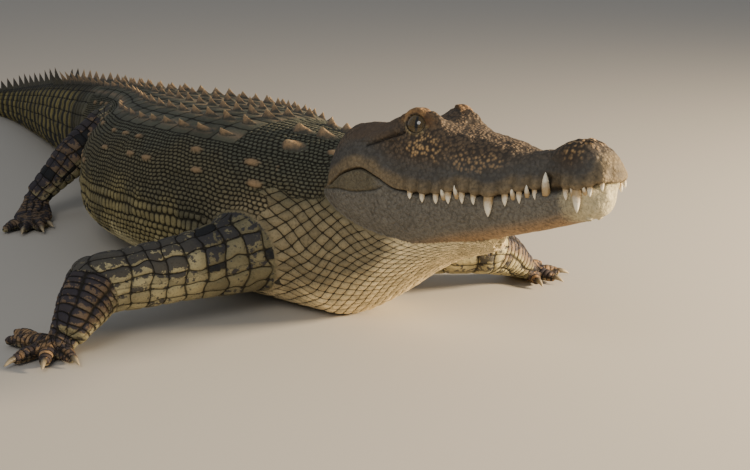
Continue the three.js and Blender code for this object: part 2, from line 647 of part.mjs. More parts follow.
const headRoom = joined( [ upperJaw( HEAD_ROOM ), lowerJaw( HEAD_ROOM ) ] );
const neck = bodyLength( THROAT_FRONT, NECK_END, NECK_RINGS ).add( joined( napeKeels ) ).subtract( headRoom );
addNode( 'neck', onFloor( neck ), 'hide' );
const trunk = bodyLength( NECK_END + PART_GAP, TRUNK_END, TRUNK_BANDS + 1 ).add( joined( backKeels ) );
addNode( 'trunk', onFloor( trunk ), 'hide' );
const tailLengths = [
	[ 'tail_base', TRUNK_END, TAIL_BASE_END ],
	[ 'tail_middle', TAIL_BASE_END, TAIL_MIDDLE_END ],
	[ 'tail_tip', TAIL_MIDDLE_END, TAIL_TIP ]
];
for ( const [ name, start, end ] of tailLengths ) {

	const fins = joined( tailFins( start, end ) );
	const length = bodyLength( start + PART_GAP, end, TAIL_BANDS + 1, 0, TAIL_SIDES ).add( fins );
	addNode( name, onFloor( length ), 'hide' );

}

const bodyRoom = joined( [
	bodyLength( THROAT_FRONT, NECK_END, NECK_RINGS, PART_GAP ),
	bodyLength( NECK_END, TRUNK_END, TRUNK_BANDS + 1, PART_GAP )
] );
for ( const side of [ 'right', 'left' ] ) {

	const fore = FORE[ side ];
	const hind = HIND[ side ];
	const limbs = [
		[ 'upper_arm', 'forearm', 'hand', fore.root, fore.elbow, fore.wrist, [ 72, 76, 56, 58, 49, 45, 34 ],
			foot( at( fore.wrist ), at( fore.palm ), fore.toes, 44, 12 ) ],
		[ 'thigh', 'shank', 'foot', hind.root, hind.knee, hind.ankle, [ 70, 74, 60, 58, 44, 45, 34 ],
			foot( at( hind.ankle ), at( hind.palm ), hind.toes, 46, 13 ) ]
	];
	for ( const [ upperName, lowerName, footName, root, bend, end, girth, footParts ] of limbs ) {

		const lengths = leg( root, bend, end, girth, footParts );
		const clawRoom = joined( footParts.claws.map( ( place ) => claw( ...place, PART_GAP ) ) );
		addNode( `${ upperName }_${ side }`, onFloor( lengths.upper.subtract( bodyRoom ) ), 'hide' );
		addNode( `${ lowerName }_${ side }`, onFloor( lengths.lower.subtract( bodyRoom ) ), 'hide' );
		const footSolid = lengths.foot.simplify( EVEN_FOOT ).subtract( clawRoom );
		addNode( `${ footName }_${ side }`, onFloor( footSolid ), 'hide' );
		footParts.claws.forEach( ( place, i ) => {

			addNode( `claw_${ footName }_${ side }_${ i + 1 }`, onFloor( claw( ...place ) ), 'claw' );

		} );

	}

}

export default group;
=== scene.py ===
"""A resting crocodile as a still, life-size model, dressed over its solids. Shapes are worked out in
millimetres in the row frame and become metres where a mesh is made. +X is the animal's left, the trunk
heads along -Y, and the floor is z = 0."""

import math

import bmesh
import bpy
import numpy as np
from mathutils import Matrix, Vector


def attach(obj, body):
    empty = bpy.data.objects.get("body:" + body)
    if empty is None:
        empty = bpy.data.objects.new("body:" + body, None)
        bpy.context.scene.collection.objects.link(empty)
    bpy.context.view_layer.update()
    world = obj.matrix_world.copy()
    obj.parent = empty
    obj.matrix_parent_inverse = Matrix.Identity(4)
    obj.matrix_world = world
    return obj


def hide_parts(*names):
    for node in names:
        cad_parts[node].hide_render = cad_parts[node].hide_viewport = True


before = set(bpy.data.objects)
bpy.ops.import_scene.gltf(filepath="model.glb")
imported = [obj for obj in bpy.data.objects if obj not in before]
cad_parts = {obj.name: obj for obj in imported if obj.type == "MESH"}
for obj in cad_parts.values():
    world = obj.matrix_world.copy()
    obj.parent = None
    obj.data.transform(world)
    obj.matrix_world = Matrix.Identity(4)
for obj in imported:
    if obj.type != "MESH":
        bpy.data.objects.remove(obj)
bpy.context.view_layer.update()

# ---- Neck, trunk and tail -----------------------------------------------------------------------
# One long barrel of flesh, widest at the belly and drawn out into the tail. It lies on a middle
# line in plan, and every cross-section is a squared oval whose sizes are keyed along that line.

MM = 0.001
SINK = 4  # how far the barrel reaches under the floor, before it is laid flat on it
SHOULDER_KNOT = 2  # the point of the middle line from which lengths are counted
MIDDLE_LINE = [
    (126, -560), (55, -256), (3, 0), (0, 350), (0, 700), (0, 1100), (0, 1500), (0, 1900),
    (-14, 2250), (-75, 2560), (-160, 2800)]
THROAT_FRONT, NECK_END, TRUNK_END, TAIL_TIP = -540, -70, 1060, 2788
WIDEST_HEIGHT = 0.43  # part of the way up each cross-section
FLESH_INSET = 3  # how deep the hide's ground lies in the solids, under the tops of its scales


def profile(*keys):
    """A smooth size through each key (place, value) that never overshoots between two keys."""
    x = np.array([key[0] for key in keys], float)
    y = np.array([key[1] for key in keys], float)
    rise = np.diff(y) / np.diff(x)
    slopes = np.zeros(len(x))
    product = rise[:-1] * rise[1:]
    total = rise[:-1] + rise[1:]
    slopes[1:-1] = np.where(product > 0, 2 * product / np.where(total == 0, 1, total), 0)

    def value(place):
        place = np.clip(np.asarray(place, float), x[0], x[-1])
        i = np.clip(np.searchsorted(x, place, "right") - 1, 0, len(x) - 2)
        span = x[i + 1] - x[i]
        t = (place - x[i]) / span
        start = (1 + 2 * t) * (1 - t) ** 2 * y[i] + t * (1 - t) ** 2 * span * slopes[i]
        return start + t * t * (3 - 2 * t) * y[i + 1] - t * t * (1 - t) * span * slopes[i + 1]

    return value


def spline(knots, steps):
    """Points of a centripetal spline through the knots, steps to each span."""
    knots = np.asarray(knots, float)
    padded = np.vstack([2 * knots[0] - knots[1], knots, 2 * knots[-1] - knots[-2]])
    points = []
    for i in range(len(knots) - 1):
        p0, p1, p2, p3 = padded[i:i + 4]
        d0, d1, d2 = (math.sqrt(np.linalg.norm(b - a)) for a, b in ((p0, p1), (p1, p2), (p2, p3)))
        m1 = ((p1 - p0) / d0 - (p2 - p0) / (d0 + d1) + (p2 - p1) / d1) * d1
        m2 = ((p2 - p1) / d1 - (p3 - p1) / (d1 + d2) + (p3 - p2) / d2) * d1
        t = (np.arange(steps) / steps)[:, None]
        points.append(p1 + m1 * t + (3 * (p2 - p1) - 2 * m1 - m2) * t ** 2
                      + (2 * (p1 - p2) + m1 + m2) * t ** 3)
    return np.vstack(points + [knots[-1:]])


def unit(vectors):
    return vectors / np.linalg.norm(vectors, axis=-1, keepdims=True)


def signed_power(value, exponent):
    return np.sign(value) * np.abs(value) ** exponent


def smooth(value, low, high):
    """0 below low, 1 above high and a soft step between them."""
    t = np.clip((value - low) / (high - low), 0, 1)
    return t * t * (3 - 2 * t)


def stretch(value, start, full, fade, end):
    """1 from full to fade, falling softly to 0 at start and at end."""
    return smooth(value, start, full) * (1 - smooth(value, fade, end))


def bell(value, centre, width):
    return np.exp(-((value - centre) / width) ** 2)


LINE_STEPS = 150
line = spline(MIDDLE_LINE, LINE_STEPS)
line_along = np.concatenate([[0], np.cumsum(np.linalg.norm(np.diff(line, axis=0), axis=1))])
line_along -= line_along[SHOULDER_KNOT * LINE_STEPS]
line_heading = unit(np.gradient(line, line_along, axis=0))

body_half_width = profile(
    (-540, 24), (-480, 42), (-400, 60), (-330, 80), (-256, 100), (-180, 124), (-70, 166), (60, 205),
    (220, 250), (400, 274), (560, 246), (700, 172), (800, 127), (900, 108), (1060, 104), (1300, 89),
    (1600, 70), (1900, 52), (2200, 36), (2500, 21), (2790, 7))
body_top = profile(
    (-540, 205), (-480, 215), (-330, 262), (-256, 310), (-150, 320), (0, 326), (200, 320), (420, 308),
    (700, 294), (900, 284), (1060, 270), (1300, 246), (1600, 210), (1900, 166), (2200, 120), (2500, 74),
    (2790, 24))
body_bottom = profile(
    (-540, 172), (-480, 158), (-400, 120), (-320, 66), (-250, 22), (-190, -SINK), (760, -SINK),
    (900, 6), (1060, 4), (1180, -SINK), (2700, -SINK), (2790, 0))
body_squareness = profile((-540, 2), (-200, 2.2), (300, 2.5), (900, 2.4), (1300, 2.3), (2790, 2.2))


def body_place(along):
    """The point of the middle line and the way across to the animal's left, both in plan."""
    point = np.stack([np.interp(along, line_along, line[:, i]) for i in (0, 1)], -1)
    heading = np.stack([np.interp(along, line_along, line_heading[:, i]) for i in (0, 1)], -1)
    return point, np.stack([heading[..., 1], -heading[..., 0]], -1)


def hide_point(along, degrees, grown=0.0):
    """A point of the hide. 0 degrees is at the animal's left, 90 on the back and 270 on the belly."""
    along, degrees = np.broadcast_arrays(np.asarray(along, float), np.asarray(degrees, float))
    point, across = body_place(along)
    angle = np.radians(degrees)
    top = body_top(along) + grown
    bottom = body_bottom(along) - grown
    middle = bottom + WIDEST_HEIGHT * (top - bottom)
    power = 2 / body_squareness(along)
    rise = signed_power(np.sin(angle), power)
    height = middle + rise * np.where(rise > 0, top - middle, middle - bottom)
    sideways = signed_power(np.cos(angle), power) * (body_half_width(along) + grown)
    plan = point + across * sideways[..., None]
    return np.concatenate([plan, height[..., None]], -1)


flesh_points, flesh_faces = [], []


def grid_walls(index):
    """Four-sided faces between neighbouring rows of numbered points."""
    return np.stack([index[:-1, :-1], index[:-1, 1:], index[1:, 1:], index[1:, :-1]], -1).reshape(-1, 4)


def tube_faces(rings, first=0):
    """The walls and both ends of a tube of rings, whose points are numbered from first."""
    count, sides = rings.shape[:2]
    index = first + np.arange(count * sides).reshape(count, sides)
    walls = grid_walls(np.concatenate([index, index[:, :1]], axis=1))
    return walls.tolist() + [index[0][::-1].tolist(), index[-1].tolist()]


def add_flesh(rings):
    """Adds a closed tube through rings of points, each an array of one cross-section."""
    flesh_faces.extend(tube_faces(rings, sum(len(points) for points in flesh_points)))
    flesh_points.append(rings.reshape(-1, 3))


BODY_STEP, BODY_SIDES = 7, 120
body_stations = np.arange(THROAT_FRONT, TAIL_TIP, BODY_STEP, float)[:, None]
add_flesh(hide_point(body_stations, np.linspace(0, 360, BODY_SIDES, endpoint=False)[None], -FLESH_INSET))

# ---- Head ---------------------------------------------------------------------------------------
# A flat wedge of bone under thin hide, carried a little to the animal's left and raised. Sizes are
# in head lengths: ahead of the rear of the skull table, out from the middle, and up from the jaw line.

HEAD = 480  # its length, from the skull table's rear to the snout's tip
HEAD_SEAT = np.array([55, -256, 348])
HEAD_TURN, HEAD_RAISE, HEAD_LEAN = (math.radians(degrees) for degrees in (13.1, 8.2, -3.1))
TABLE_HEIGHT = 0.2  # of the seat, over the jaw line

head_ahead = np.array([
    math.sin(HEAD_TURN) * math.cos(HEAD_RAISE), -math.cos(HEAD_TURN) * math.cos(HEAD_RAISE),
    math.sin(HEAD_RAISE)])
head_level = np.array([math.cos(HEAD_TURN), math.sin(HEAD_TURN), 0])
head_left = head_level * math.cos(HEAD_LEAN) + np.cross(head_ahead, head_level) * math.sin(HEAD_LEAN)
head_up = np.cross(head_ahead, head_left)
head_axes = np.stack([head_ahead, head_left, head_up])


def head_point(ahead, left, up):
    places = np.stack(np.broadcast_arrays(ahead, left, np.asarray(up) - TABLE_HEIGHT), -1)
    return HEAD_SEAT + HEAD * places @ head_axes


def head_place(points):
    """The three head sizes of points: ahead, left and up."""
    ahead, left, up = ((points - HEAD_SEAT) @ head_axes.T / HEAD).T
    return ahead, left, up + TABLE_HEIGHT


jaw_line = profile(
    (-0.14, -0.012), (-0.063, 0.007), (0.027, 0.05), (0.096, 0.062), (0.17, 0.03), (0.244, -0.01),
    (0.391, -0.03), (0.491, -0.02), (0.616, -0.034), (0.675, -0.026), (0.72, -0.018), (0.808, -0.01),
    (0.893, -0.008), (0.933, -0.009), (0.98, 0.001), (1.03, 0.014))
upper_half_width = profile(
    (-0.12, 0.15), (-0.07, 0.197), (0.03, 0.205), (0.1, 0.199), (0.244, 0.176), (0.39, 0.154),
    (0.5, 0.14), (0.616, 0.127), (0.7, 0.1), (0.808, 0.069), (0.87, 0.079), (0.933, 0.083),
    (0.98, 0.07), (1.012, 0.045), (1.03, 0.014))
table_half_width = profile(
    (-0.12, 0.09), (0, 0.112), (0.18, 0.112), (0.3, 0.102), (0.4, 0.084), (0.5, 0.06), (0.62, 0.047),
    (0.8, 0.032), (0.88, 0.042), (0.96, 0.036), (1.03, 0.008))
table_edge_height = profile(
    (-0.12, 0.1), (-0.03, 0.192), (0.02, 0.207), (0.16, 0.208), (0.22, 0.222), (0.3, 0.245),
    (0.36, 0.234), (0.412, 0.188), (0.5, 0.16), (0.564, 0.142), (0.647, 0.121), (0.728, 0.1),
    (0.8, 0.105), (0.882, 0.134), (0.959, 0.114), (1, 0.092), (1.03, 0.056))
crown_height = profile(
    (-0.12, 0.11), (-0.03, 0.196), (0.02, 0.205), (0.2, 0.202), (0.3, 0.205), (0.412, 0.187),
    (0.509, 0.167), (0.564, 0.151), (0.647, 0.13), (0.728, 0.108), (0.8, 0.112), (0.882, 0.14),
    (0.959, 0.121), (1, 0.098), (1.03, 0.058))
cheek_squareness = profile((-0.12, 2), (0.1, 1.7), (0.3, 1.75), (0.5, 2.1), (1, 2.3))
lower_half_width = profile(
    (-0.155, 0.11), (-0.1, 0.192), (0, 0.21), (0.1, 0.2), (0.244, 0.168), (0.39, 0.145), (0.5, 0.13),
    (0.616, 0.114), (0.72, 0.089), (0.8, 0.075), (0.88, 0.075), (0.93, 0.072), (0.97, 0.059), (1, 0.03))
jaw_underside = profile(
    (-0.155, -0.06), (-0.096, -0.125), (-0.005, -0.192), (0.1, -0.226), (0.229, -0.228), (0.39, -0.2),
    (0.629, -0.16), (0.767, -0.135), (0.915, -0.103), (0.975, -0.084), (1, -0.05))
JAW_SIDE_SQUARENESS, JAW_DEPTH_SQUARENESS = 2.4, 2.2
HEAD_REAR, SNOUT_TIP = -0.12, 1.03
JAW_REAR, CHIN_TIP = -0.155, 1
HEAD_RINGS = 130


def mirrored(half_out, half_up):
    """A whole ring from one half, which runs from the left margin to the middle."""
    out = np.concatenate([half_out, -half_out[:, -2::-1]], 1)
    up = np.concatenate([half_up, half_up[:, -2::-1]], 1)
    return out, up


places = np.linspace(HEAD_REAR, SNOUT_TIP, HEAD_RINGS)[:, None]
angle = np.radians(np.linspace(0, 90, 22))[None]
edge = table_half_width(places)
margin = jaw_line(places)
cheek_out = edge + (upper_half_width(places) - edge) * np.cos(angle) ** (2 / cheek_squareness(places))
cheek_up = margin + (table_edge_height(places) - margin) * np.sin(angle) ** (2 / cheek_squareness(places))
crown_step = np.linspace(0, 1, 10)[None, 1:]
crown_blend = smooth(crown_step, 0, 1)
crown_up = table_edge_height(places) * (1 - crown_blend) + crown_height(places) * crown_blend
out, up = mirrored(
    np.concatenate([cheek_out, edge * (1 - crown_step)], 1), np.concatenate([cheek_up, crown_up], 1))
add_flesh(head_point(places, out, up))

places = np.linspace(JAW_REAR, CHIN_TIP, HEAD_RINGS)[:, None]
angle = np.radians(np.linspace(0, 90, 28))[None]
margin = jaw_line(places)
jaw_out = lower_half_width(places) * np.cos(angle) ** (2 / JAW_SIDE_SQUARENESS)
jaw_up = margin - (margin - jaw_underside(places)) * np.sin(angle) ** (2 / JAW_DEPTH_SQUARENESS)
add_flesh(head_point(places, *mirrored(jaw_out, jaw_up)))

# ---- Legs ---------------------------------------------------------------------------------------
# Four sprawled legs, each of a thick upper length, a thinner lower length and a flat foot with
# spread toes. Every length is a tapering tube about a curved line, and keeps its own places for scales.

LEG_SIDES = 36
tubes = []


def full_turn(sides):
    return np.linspace(0, 2 * math.pi, sides, endpoint=False)


def add_tube(name, stations, steps=10, inset=1.5):
    """A tube of flesh through stations (x, y, z, half width, half height), level across."""
    stations = np.asarray(stations, float)
    centre = spline(stations[:, :3], steps)
    knots = np.linspace(0, len(stations) - 1, len(centre))
    order = np.arange(len(stations))
    half_width = profile(*zip(order, stations[:, 3]))(knots) - inset
    half_height = profile(*zip(order, stations[:, 4]))(knots) - inset
    length = np.concatenate([[0], np.cumsum(np.linalg.norm(np.diff(centre, axis=0), axis=1))])
    ahead = unit(np.gradient(centre, axis=0))
    across = unit(np.stack([-ahead[:, 1], ahead[:, 0], np.zeros(len(ahead))], -1))
    up = np.cross(ahead, across)
    turn = full_turn(LEG_SIDES)[None, :, None]
    rings = (centre[:, None] + across[:, None] * np.cos(turn) * half_width[:, None, None]
             + up[:, None] * np.sin(turn) * half_height[:, None, None])
    add_flesh(rings)
    tubes.append(dict(name=name, centre=centre, length=length, across=across, up=up, ahead=ahead,
                      half_width=half_width, half_height=half_height))


def add_knob(centre, radius):
    """A ball of flesh that rounds a bend."""
    rise = np.radians(np.linspace(-85, 85, 16))[:, None]
    turn = full_turn(LEG_SIDES)[None]
    ball = np.stack(np.broadcast_arrays(
        np.cos(rise) * np.cos(turn), np.cos(rise) * np.sin(turn), np.sin(rise)), -1)
    add_flesh(np.asarray(centre, float) + radius * ball)


# The ends of the legs' lengths, and each toe's heading in degrees, its length and whether it is clawed.
FORE = {
    "right": dict(
        root=(-84, -98, 116), bend=(-408, -118, 96), end=(-475, -174, 37), palm=(-495, -142, 0),
        toes=((-79, 78, 1), (-113, 76, 1), (208, 78, 1), (132, 86, 0), (111, 100, 0))),
    "left": dict(
        root=(84, -98, 116), bend=(310, -198, 86), end=(408, -182, 33), palm=(428, -160, 0),
        toes=((-101, 72, 1), (-67, 72, 1), (-28, 72, 1), (24, 66, 0), (54, 66, 0))),
}
HIND = {
    "right": dict(
        root=(-66, 930, 150), bend=(-110, 800, 208), end=(-290, 795, 50), palm=(-315, 740, 0),
        toes=((-72, 66, 1), (-92, 100, 1), (-114, 104, 1), (-138, 108, 0))),
    "left": dict(
        root=(66, 930, 150), bend=(110, 800, 208), end=(290, 795, 50), palm=(315, 740, 0),
        toes=((-108, 66, 1), (-88, 100, 1), (-66, 104, 1), (-42, 108, 0))),
}
# Half sizes: root and upper middle (width, height each), bend, lower middle and end.
FORE_GIRTH = (72, 76, 56, 58, 49, 45, 34)
HIND_GIRTH = (70, 74, 60, 58, 44, 45, 34)
FORE_PALM, FORE_TOE = 44, 12
HIND_PALM, HIND_TOE = 46, 13
CLAW_LENGTH = 1.7  # in toe sizes
claw_places = []


def between(a, b, part, lift=0):
    a, b = np.asarray(a, float), np.asarray(b, float)
    return tuple(a + (b - a) * part + np.array([0, 0, lift]))


def add_leg(name, places, girth, palm_size, toe_size):
    root, bend, end, palm = (places[key] for key in ("root", "bend", "end", "palm"))
    add_tube(name + "_upper", [
        (*root, girth[0], girth[1]),
        (*between(root, bend, 0.5, -4), girth[2], girth[3]),
        (*bend, girth[4], girth[4] * 1.05)], steps=26)
    add_knob(bend, girth[4] * 1.01)
    add_tube(name + "_lower", [
        (*bend, girth[4], girth[4]),
        (*between(bend, end, 0.45, 4), girth[5], girth[5] * 0.95),
        (*end, girth[6], girth[6] * 0.8)], steps=14)
    middle = ((end[0] + palm[0]) / 2, (end[1] + palm[1]) / 2)
    add_tube(name + "_sole", [
        (*end, palm_size * 0.62, 22),
        (*middle, 21, palm_size * 0.85, 21),
        (palm[0], palm[1], 13, palm_size, 15),
        (palm[0] * 2 - middle[0], palm[1] * 2 - middle[1], 10, palm_size * 0.8, 11)])
    for i, (degrees, length, clawed) in enumerate(places["toes"]):
        heading = np.array([math.cos(math.radians(degrees)), math.sin(math.radians(degrees))])
        root_at, knuckle, tip = (np.asarray(palm[:2]) + heading * length * part for part in (0.15, 0.65, 1))
        add_tube(f"{name}_toe_{i + 1}", [
            (*root_at, 14, toe_size * 1.25, toe_size * 1.2),
            (*(root_at + (knuckle - root_at) * 0.6), 12.5, toe_size * 0.95, toe_size * 0.95),
            (*knuckle, 13, toe_size * 1.05, toe_size * 1.05),
            (*tip, 10, toe_size * 0.72, toe_size * 0.8)], steps=5, inset=0.5)
        if clawed:
            claw_places.append((name, tip, heading, toe_size * CLAW_LENGTH))


for side in ("right", "left"):
    add_leg("fore_" + side, FORE[side], FORE_GIRTH, FORE_PALM, FORE_TOE)
    add_leg("hind_" + side, HIND[side], HIND_GIRTH, HIND_PALM, HIND_TOE)

# ---- Hide ---------------------------------------------------------------------------------------
# One unbroken hide over all the flesh. The lengths are first fused into one skin, and the folds where
# legs and neck join are eased. Then every kind of scale rises from it, and its seams sink into it.

SKIN_CELL = 0.0055  # metres, the mesh that the lengths are fused in
EASE_ROUNDS = 3
FOLD_EASE_ROUNDS = 110
FOLD_NEAR, FOLD_FAR = 8, 44  # millimetres between two parts, where the easing is whole and where it ends
FAR = 1e6
READING_ROUNDS = 4  # of closing in on a point's place along the body
TUBE_REACH = 30  # how far round a leg's length its places are read


def new_mesh_object(name, points, faces):
    mesh = bpy.data.meshes.new(name)
    mesh.from_pydata((np.asarray(points) * MM).tolist(), [], faces)
    mesh.validate()
    made = bpy.data.objects.new(name, mesh)
    bpy.context.scene.collection.objects.link(made)
    return made


def applied(made):
    """Replaces an object's mesh by what its modifiers make of it."""
    bpy.context.view_layer.update()
    shaped = bpy.data.meshes.new_from_object(made.evaluated_get(bpy.context.evaluated_depsgraph_get()))
    made.modifiers.clear()
    made.data = shaped


def positions(mesh):
    co = np.empty(len(mesh.vertices) * 3, np.float32)
    mesh.vertices.foreach_get("co", co)
    return co.reshape(-1, 3).astype(float) / MM


def set_positions(mesh, points):
    mesh.vertices.foreach_set("co", (points * MM).astype(np.float32).ravel())
    mesh.update()


def normals(mesh):
    value = np.empty(len(mesh.vertices) * 3, np.float32)
    mesh.vertex_normals.foreach_get("vector", value)
    return value.reshape(-1, 3).astype(float)


def eased(mesh, points, weight, rounds):
    """Points drawn towards their neighbours' mean, as far as each one's weight lets them."""
    edges = np.empty(len(mesh.edges) * 2, np.int32)
    mesh.edges.foreach_get("vertices", edges)
    a, b = edges.reshape(-1, 2).T
    count = np.bincount(a, minlength=len(points)) + np.bincount(b, minlength=len(points))
    for _ in range(rounds):
        mean = np.stack([
            np.bincount(a, points[b, i], len(points)) + np.bincount(b, points[a, i], len(points))
            for i in range(3)], -1) / count[:, None]
        points = points + (mean - points) * weight[:, None]
    return points


def body_reading(points):
    """Each point's place along the body, its degrees round it and its height over the hide."""
    along = np.interp(points[:, 1], line[:, 1], line_along)
    for _ in range(READING_ROUNDS):
        point, across = body_place(along)
        heading = np.stack([-across[:, 1], across[:, 0]], -1)
        along = along + np.sum((points[:, :2] - point) * heading, 1)
    point, across = body_place(along)
    sideways = np.sum((points[:, :2] - point) * across, 1)
    top, bottom = body_top(along), body_bottom(along)
    middle = bottom + WIDEST_HEIGHT * (top - bottom)
    height = points[:, 2] - middle
    rise = height / np.where(height > 0, top - middle, middle - bottom)
    half = body_squareness(along) / 2
    cosine = signed_power(sideways / body_half_width(along), half)
    sine = signed_power(rise, half)
    reach = (cosine ** 2 + sine ** 2) ** (1 / (2 * half))
    proud = np.hypot(sideways, height) * (1 - 1 / np.maximum(reach, 0.05))
    beyond = np.maximum(THROAT_FRONT - along, along - TAIL_TIP)
    proud = np.where(beyond > 0, np.maximum(proud, beyond), proud)
    return along, np.degrees(np.arctan2(sine, cosine)) % 360, proud


def head_reading(points):
    """Each point's head sizes and its height over the head, with the jaws closed."""
    ahead, left, up = head_place(points)
    out = np.abs(left)
    margin = jaw_line(ahead)
    edge_height = table_edge_height(ahead)
    lift = np.clip((up - margin) / (edge_height - margin), 0, 1)
    square = cheek_squareness(ahead)
    table = table_half_width(ahead)
    cheek = table + (upper_half_width(ahead) - table) * (1 - lift ** square) ** (1 / square)
    crown = np.maximum(edge_height, crown_height(ahead))
    above = np.maximum(out - cheek, up - crown)
    drop = np.clip((margin - up) / (margin - jaw_underside(ahead)), 0, 1)
    jaw = lower_half_width(ahead) * (
        1 - drop ** JAW_DEPTH_SQUARENESS) ** (1 / JAW_SIDE_SQUARENESS)
    below = np.maximum(out - jaw, jaw_underside(ahead) - up)
    proud = np.where(up > margin, above, below) * HEAD
    behind = (np.where(up > margin, HEAD_REAR, JAW_REAR) - ahead) * HEAD
    return ahead, left, up, np.maximum(proud, behind)


def leg_reading(points):
    """For each point the nearest tube, its height over it, the length along it and the turn round it."""
    best = np.full(len(points), FAR)
    which = np.full(len(points), -1)
    along, turn = np.zeros((2, len(points)))
    for number, tube in enumerate(tubes):
        reach = tube["half_width"].max() + TUBE_REACH
        low, high = tube["centre"].min(0) - reach, tube["centre"].max(0) + reach
        near = np.flatnonzero(np.all((points > low) & (points < high), axis=1))
        for i, centre in enumerate(tube["centre"]):
            offset = points[near] - centre
            across = offset @ tube["across"][i]
            up = offset @ tube["up"][i]
            ahead = offset @ tube["ahead"][i]
            size = (tube["half_width"][i] + tube["half_height"][i]) / 2
            ratio = np.sqrt((across / tube["half_width"][i]) ** 2 + (up / tube["half_height"][i]) ** 2
                            + (ahead / size) ** 2)
            proud = (ratio - 1) * size
            closer = proud < best[near]
            spots = near[closer]
            best[spots] = proud[closer]
            which[spots] = number
            along[spots] = tube["length"][i] + ahead[closer]
            turn[spots] = np.arctan2(up[closer], across[closer])
    return which, best, along, np.degrees(turn) % 360


hide = new_mesh_object("hide", np.vstack(flesh_points), flesh_faces)
fuse = hide.modifiers.new("fuse", "REMESH")
fuse.mode = "VOXEL"
fuse.voxel_size = SKIN_CELL
applied(hide)

points = positions(hide.data)
_, _, body_proud = body_reading(points)
_, _, _, head_proud = head_reading(points)
which, leg_proud, _, _ = leg_reading(points)
order = np.sort(np.stack([body_proud, head_proud, leg_proud]), axis=0)
fold = 1 - smooth(order[1] - order[0], FOLD_NEAR, FOLD_FAR)
is_head = head_proud < np.minimum(body_proud, leg_proud)
small = np.isin(which, [i for i, tube in enumerate(tubes) if "toe" in tube["name"]]) & (
    leg_proud < body_proud)
points = eased(hide.data, points, np.where(is_head | small, 0.25, 0.5), EASE_ROUNDS)
leg_fold = fold * (np.minimum(body_proud, head_proud) < leg_proud + FOLD_FAR) * ~is_head * ~small
points = eased(hide.data, points, 0.7 * leg_fold, FOLD_EASE_ROUNDS)
set_positions(hide.data, points)

ahead, _, _, _ = head_reading(points)
fine_vertex = is_head & (ahead > -0.13)
shape = bmesh.new()
shape.from_mesh(hide.data)
shape.verts.ensure_lookup_table()
fine_edges = [edge for edge in shape.edges if all(fine_vertex[end.index] for end in edge.verts)]
bmesh.ops.subdivide_edges(shape, edges=fine_edges, cuts=1, use_grid_fill=True)
shape.to_mesh(hide.data)
shape.free()
swell = hide.modifiers.new("swell", "SUBSURF")
swell.levels = 1
applied(hide)

# Places on the dense hide: along and round the body, in head sizes, and along and round the legs.
points = positions(hide.data)
along, degrees, body_proud = body_reading(points)
ahead, left, up, head_proud = head_reading(points)
which, leg_proud, leg_along, leg_turn = leg_reading(points)
proud = np.stack([body_proud, head_proud, leg_proud])
part = proud.argmin(0)
ranked = np.sort(proud, axis=0)
inside_part = smooth(ranked[1] - ranked[0], 0, 9)
on_body, on_head, on_leg = (part == i for i in range(3))


def hashed(i, j, seed):
    """A fixed pseudo-random number from 0 to 1 for each pair of whole numbers."""
    value = (i.astype(np.int64) * 73856093) ^ (j.astype(np.int64) * 19349663) ^ (seed * 83492791)
    value = ((value ^ (value >> 13)) * 1274126177) & 0xFFFFFFFF
    return ((value ^ (value >> 16)) & 0xFFFFFF) / 0xFFFFFF


def wander(place, size, seed):
    """Soft 3-D noise from -1 to 1 with lumps of about that size in millimetres."""
    cell = np.floor(place / size)
    part_way = place / size - cell
    weight = part_way * part_way * (3 - 2 * part_way)
    total = np.zeros(len(place))
    for corner in np.ndindex(2, 2, 2):
        share = np.prod(np.where(np.array(corner), weight, 1 - weight), axis=1)
        i, j, k = (cell + corner).T
        total += share * hashed(i + 971 * k, j, seed)
    return 2 * total - 1


# The head's own forms: lips that swell over the teeth, the shut mouth, brows, ear flaps and nostrils.
UPPER_TEETH = (
    (1.005, 9, 7), (0.975, 12, 8), (0.935, 30, 14), (0.893, 13, 9), (0.768, 12, 8), (0.72, 15, 9),
    (0.675, 15, 10), (0.62, 27, 15), (0.565, 12, 9), (0.52, 14, 10), (0.465, 15, 11), (0.415, 12, 10),
    (0.36, 10, 10), (0.31, 8, 9))
LOWER_TEETH = (
    (0.955, 11, 7), (0.915, 10, 7), (0.81, 27, 13), (0.744, 11, 8), (0.697, 11, 8), (0.492, 13, 9),
    (0.44, 11, 9))
MOUTH_CORNER = -0.06
NOTCH_AT = 0.81
EAR_SLIT = ((0.262, 0.175), (0.12, 0.138))
SMILE = profile((-0.1, -0.012), (-0.02, -0.008), (0.06, -0.018), (0.15, -0.012), (0.21, 0.004))


def slit_distance(a, b):
    """Millimetres from each point to a line between two places (ahead, up) on the side of the head."""
    a, b = np.array(a), np.array(b)
    offset = np.stack([ahead, up], -1) - a
    t = np.clip(offset @ (b - a) / np.sum((b - a) ** 2), 0, 1)
    return np.linalg.norm(offset - t[:, None] * (b - a), axis=1) * HEAD, t


over_mouth = (up - jaw_line(ahead)) * HEAD
mouth = stretch(ahead, MOUTH_CORNER - 0.03, MOUTH_CORNER + 0.01, 1.0, 1.02)
lobes = np.zeros(len(points))
for place, length, thickness in UPPER_TEETH:
    lobes = np.maximum(lobes, bell(ahead * HEAD, place * HEAD, 0.75 * thickness + 3))
toothed = smooth(ahead, 0.26, 0.33)
gap = 1.8 + 4.6 * (1 - lobes) * toothed
shut = bell(over_mouth, 0.4 * gap - 1.0, gap) * mouth
notch = bell(ahead * HEAD, NOTCH_AT * HEAD, 8) * stretch(over_mouth, -4, 0, 17, 27)
shut = np.maximum(shut, notch)
form = -8 * shut
form += 2.4 * bell(over_mouth, 9, 7) * mouth * toothed
for place, length, thickness in UPPER_TEETH:
    swelling = bell(ahead * HEAD, place * HEAD, 0.95 * thickness) * bell(over_mouth, 12, 13)
    form += (1.8 + 0.15 * length) * swelling
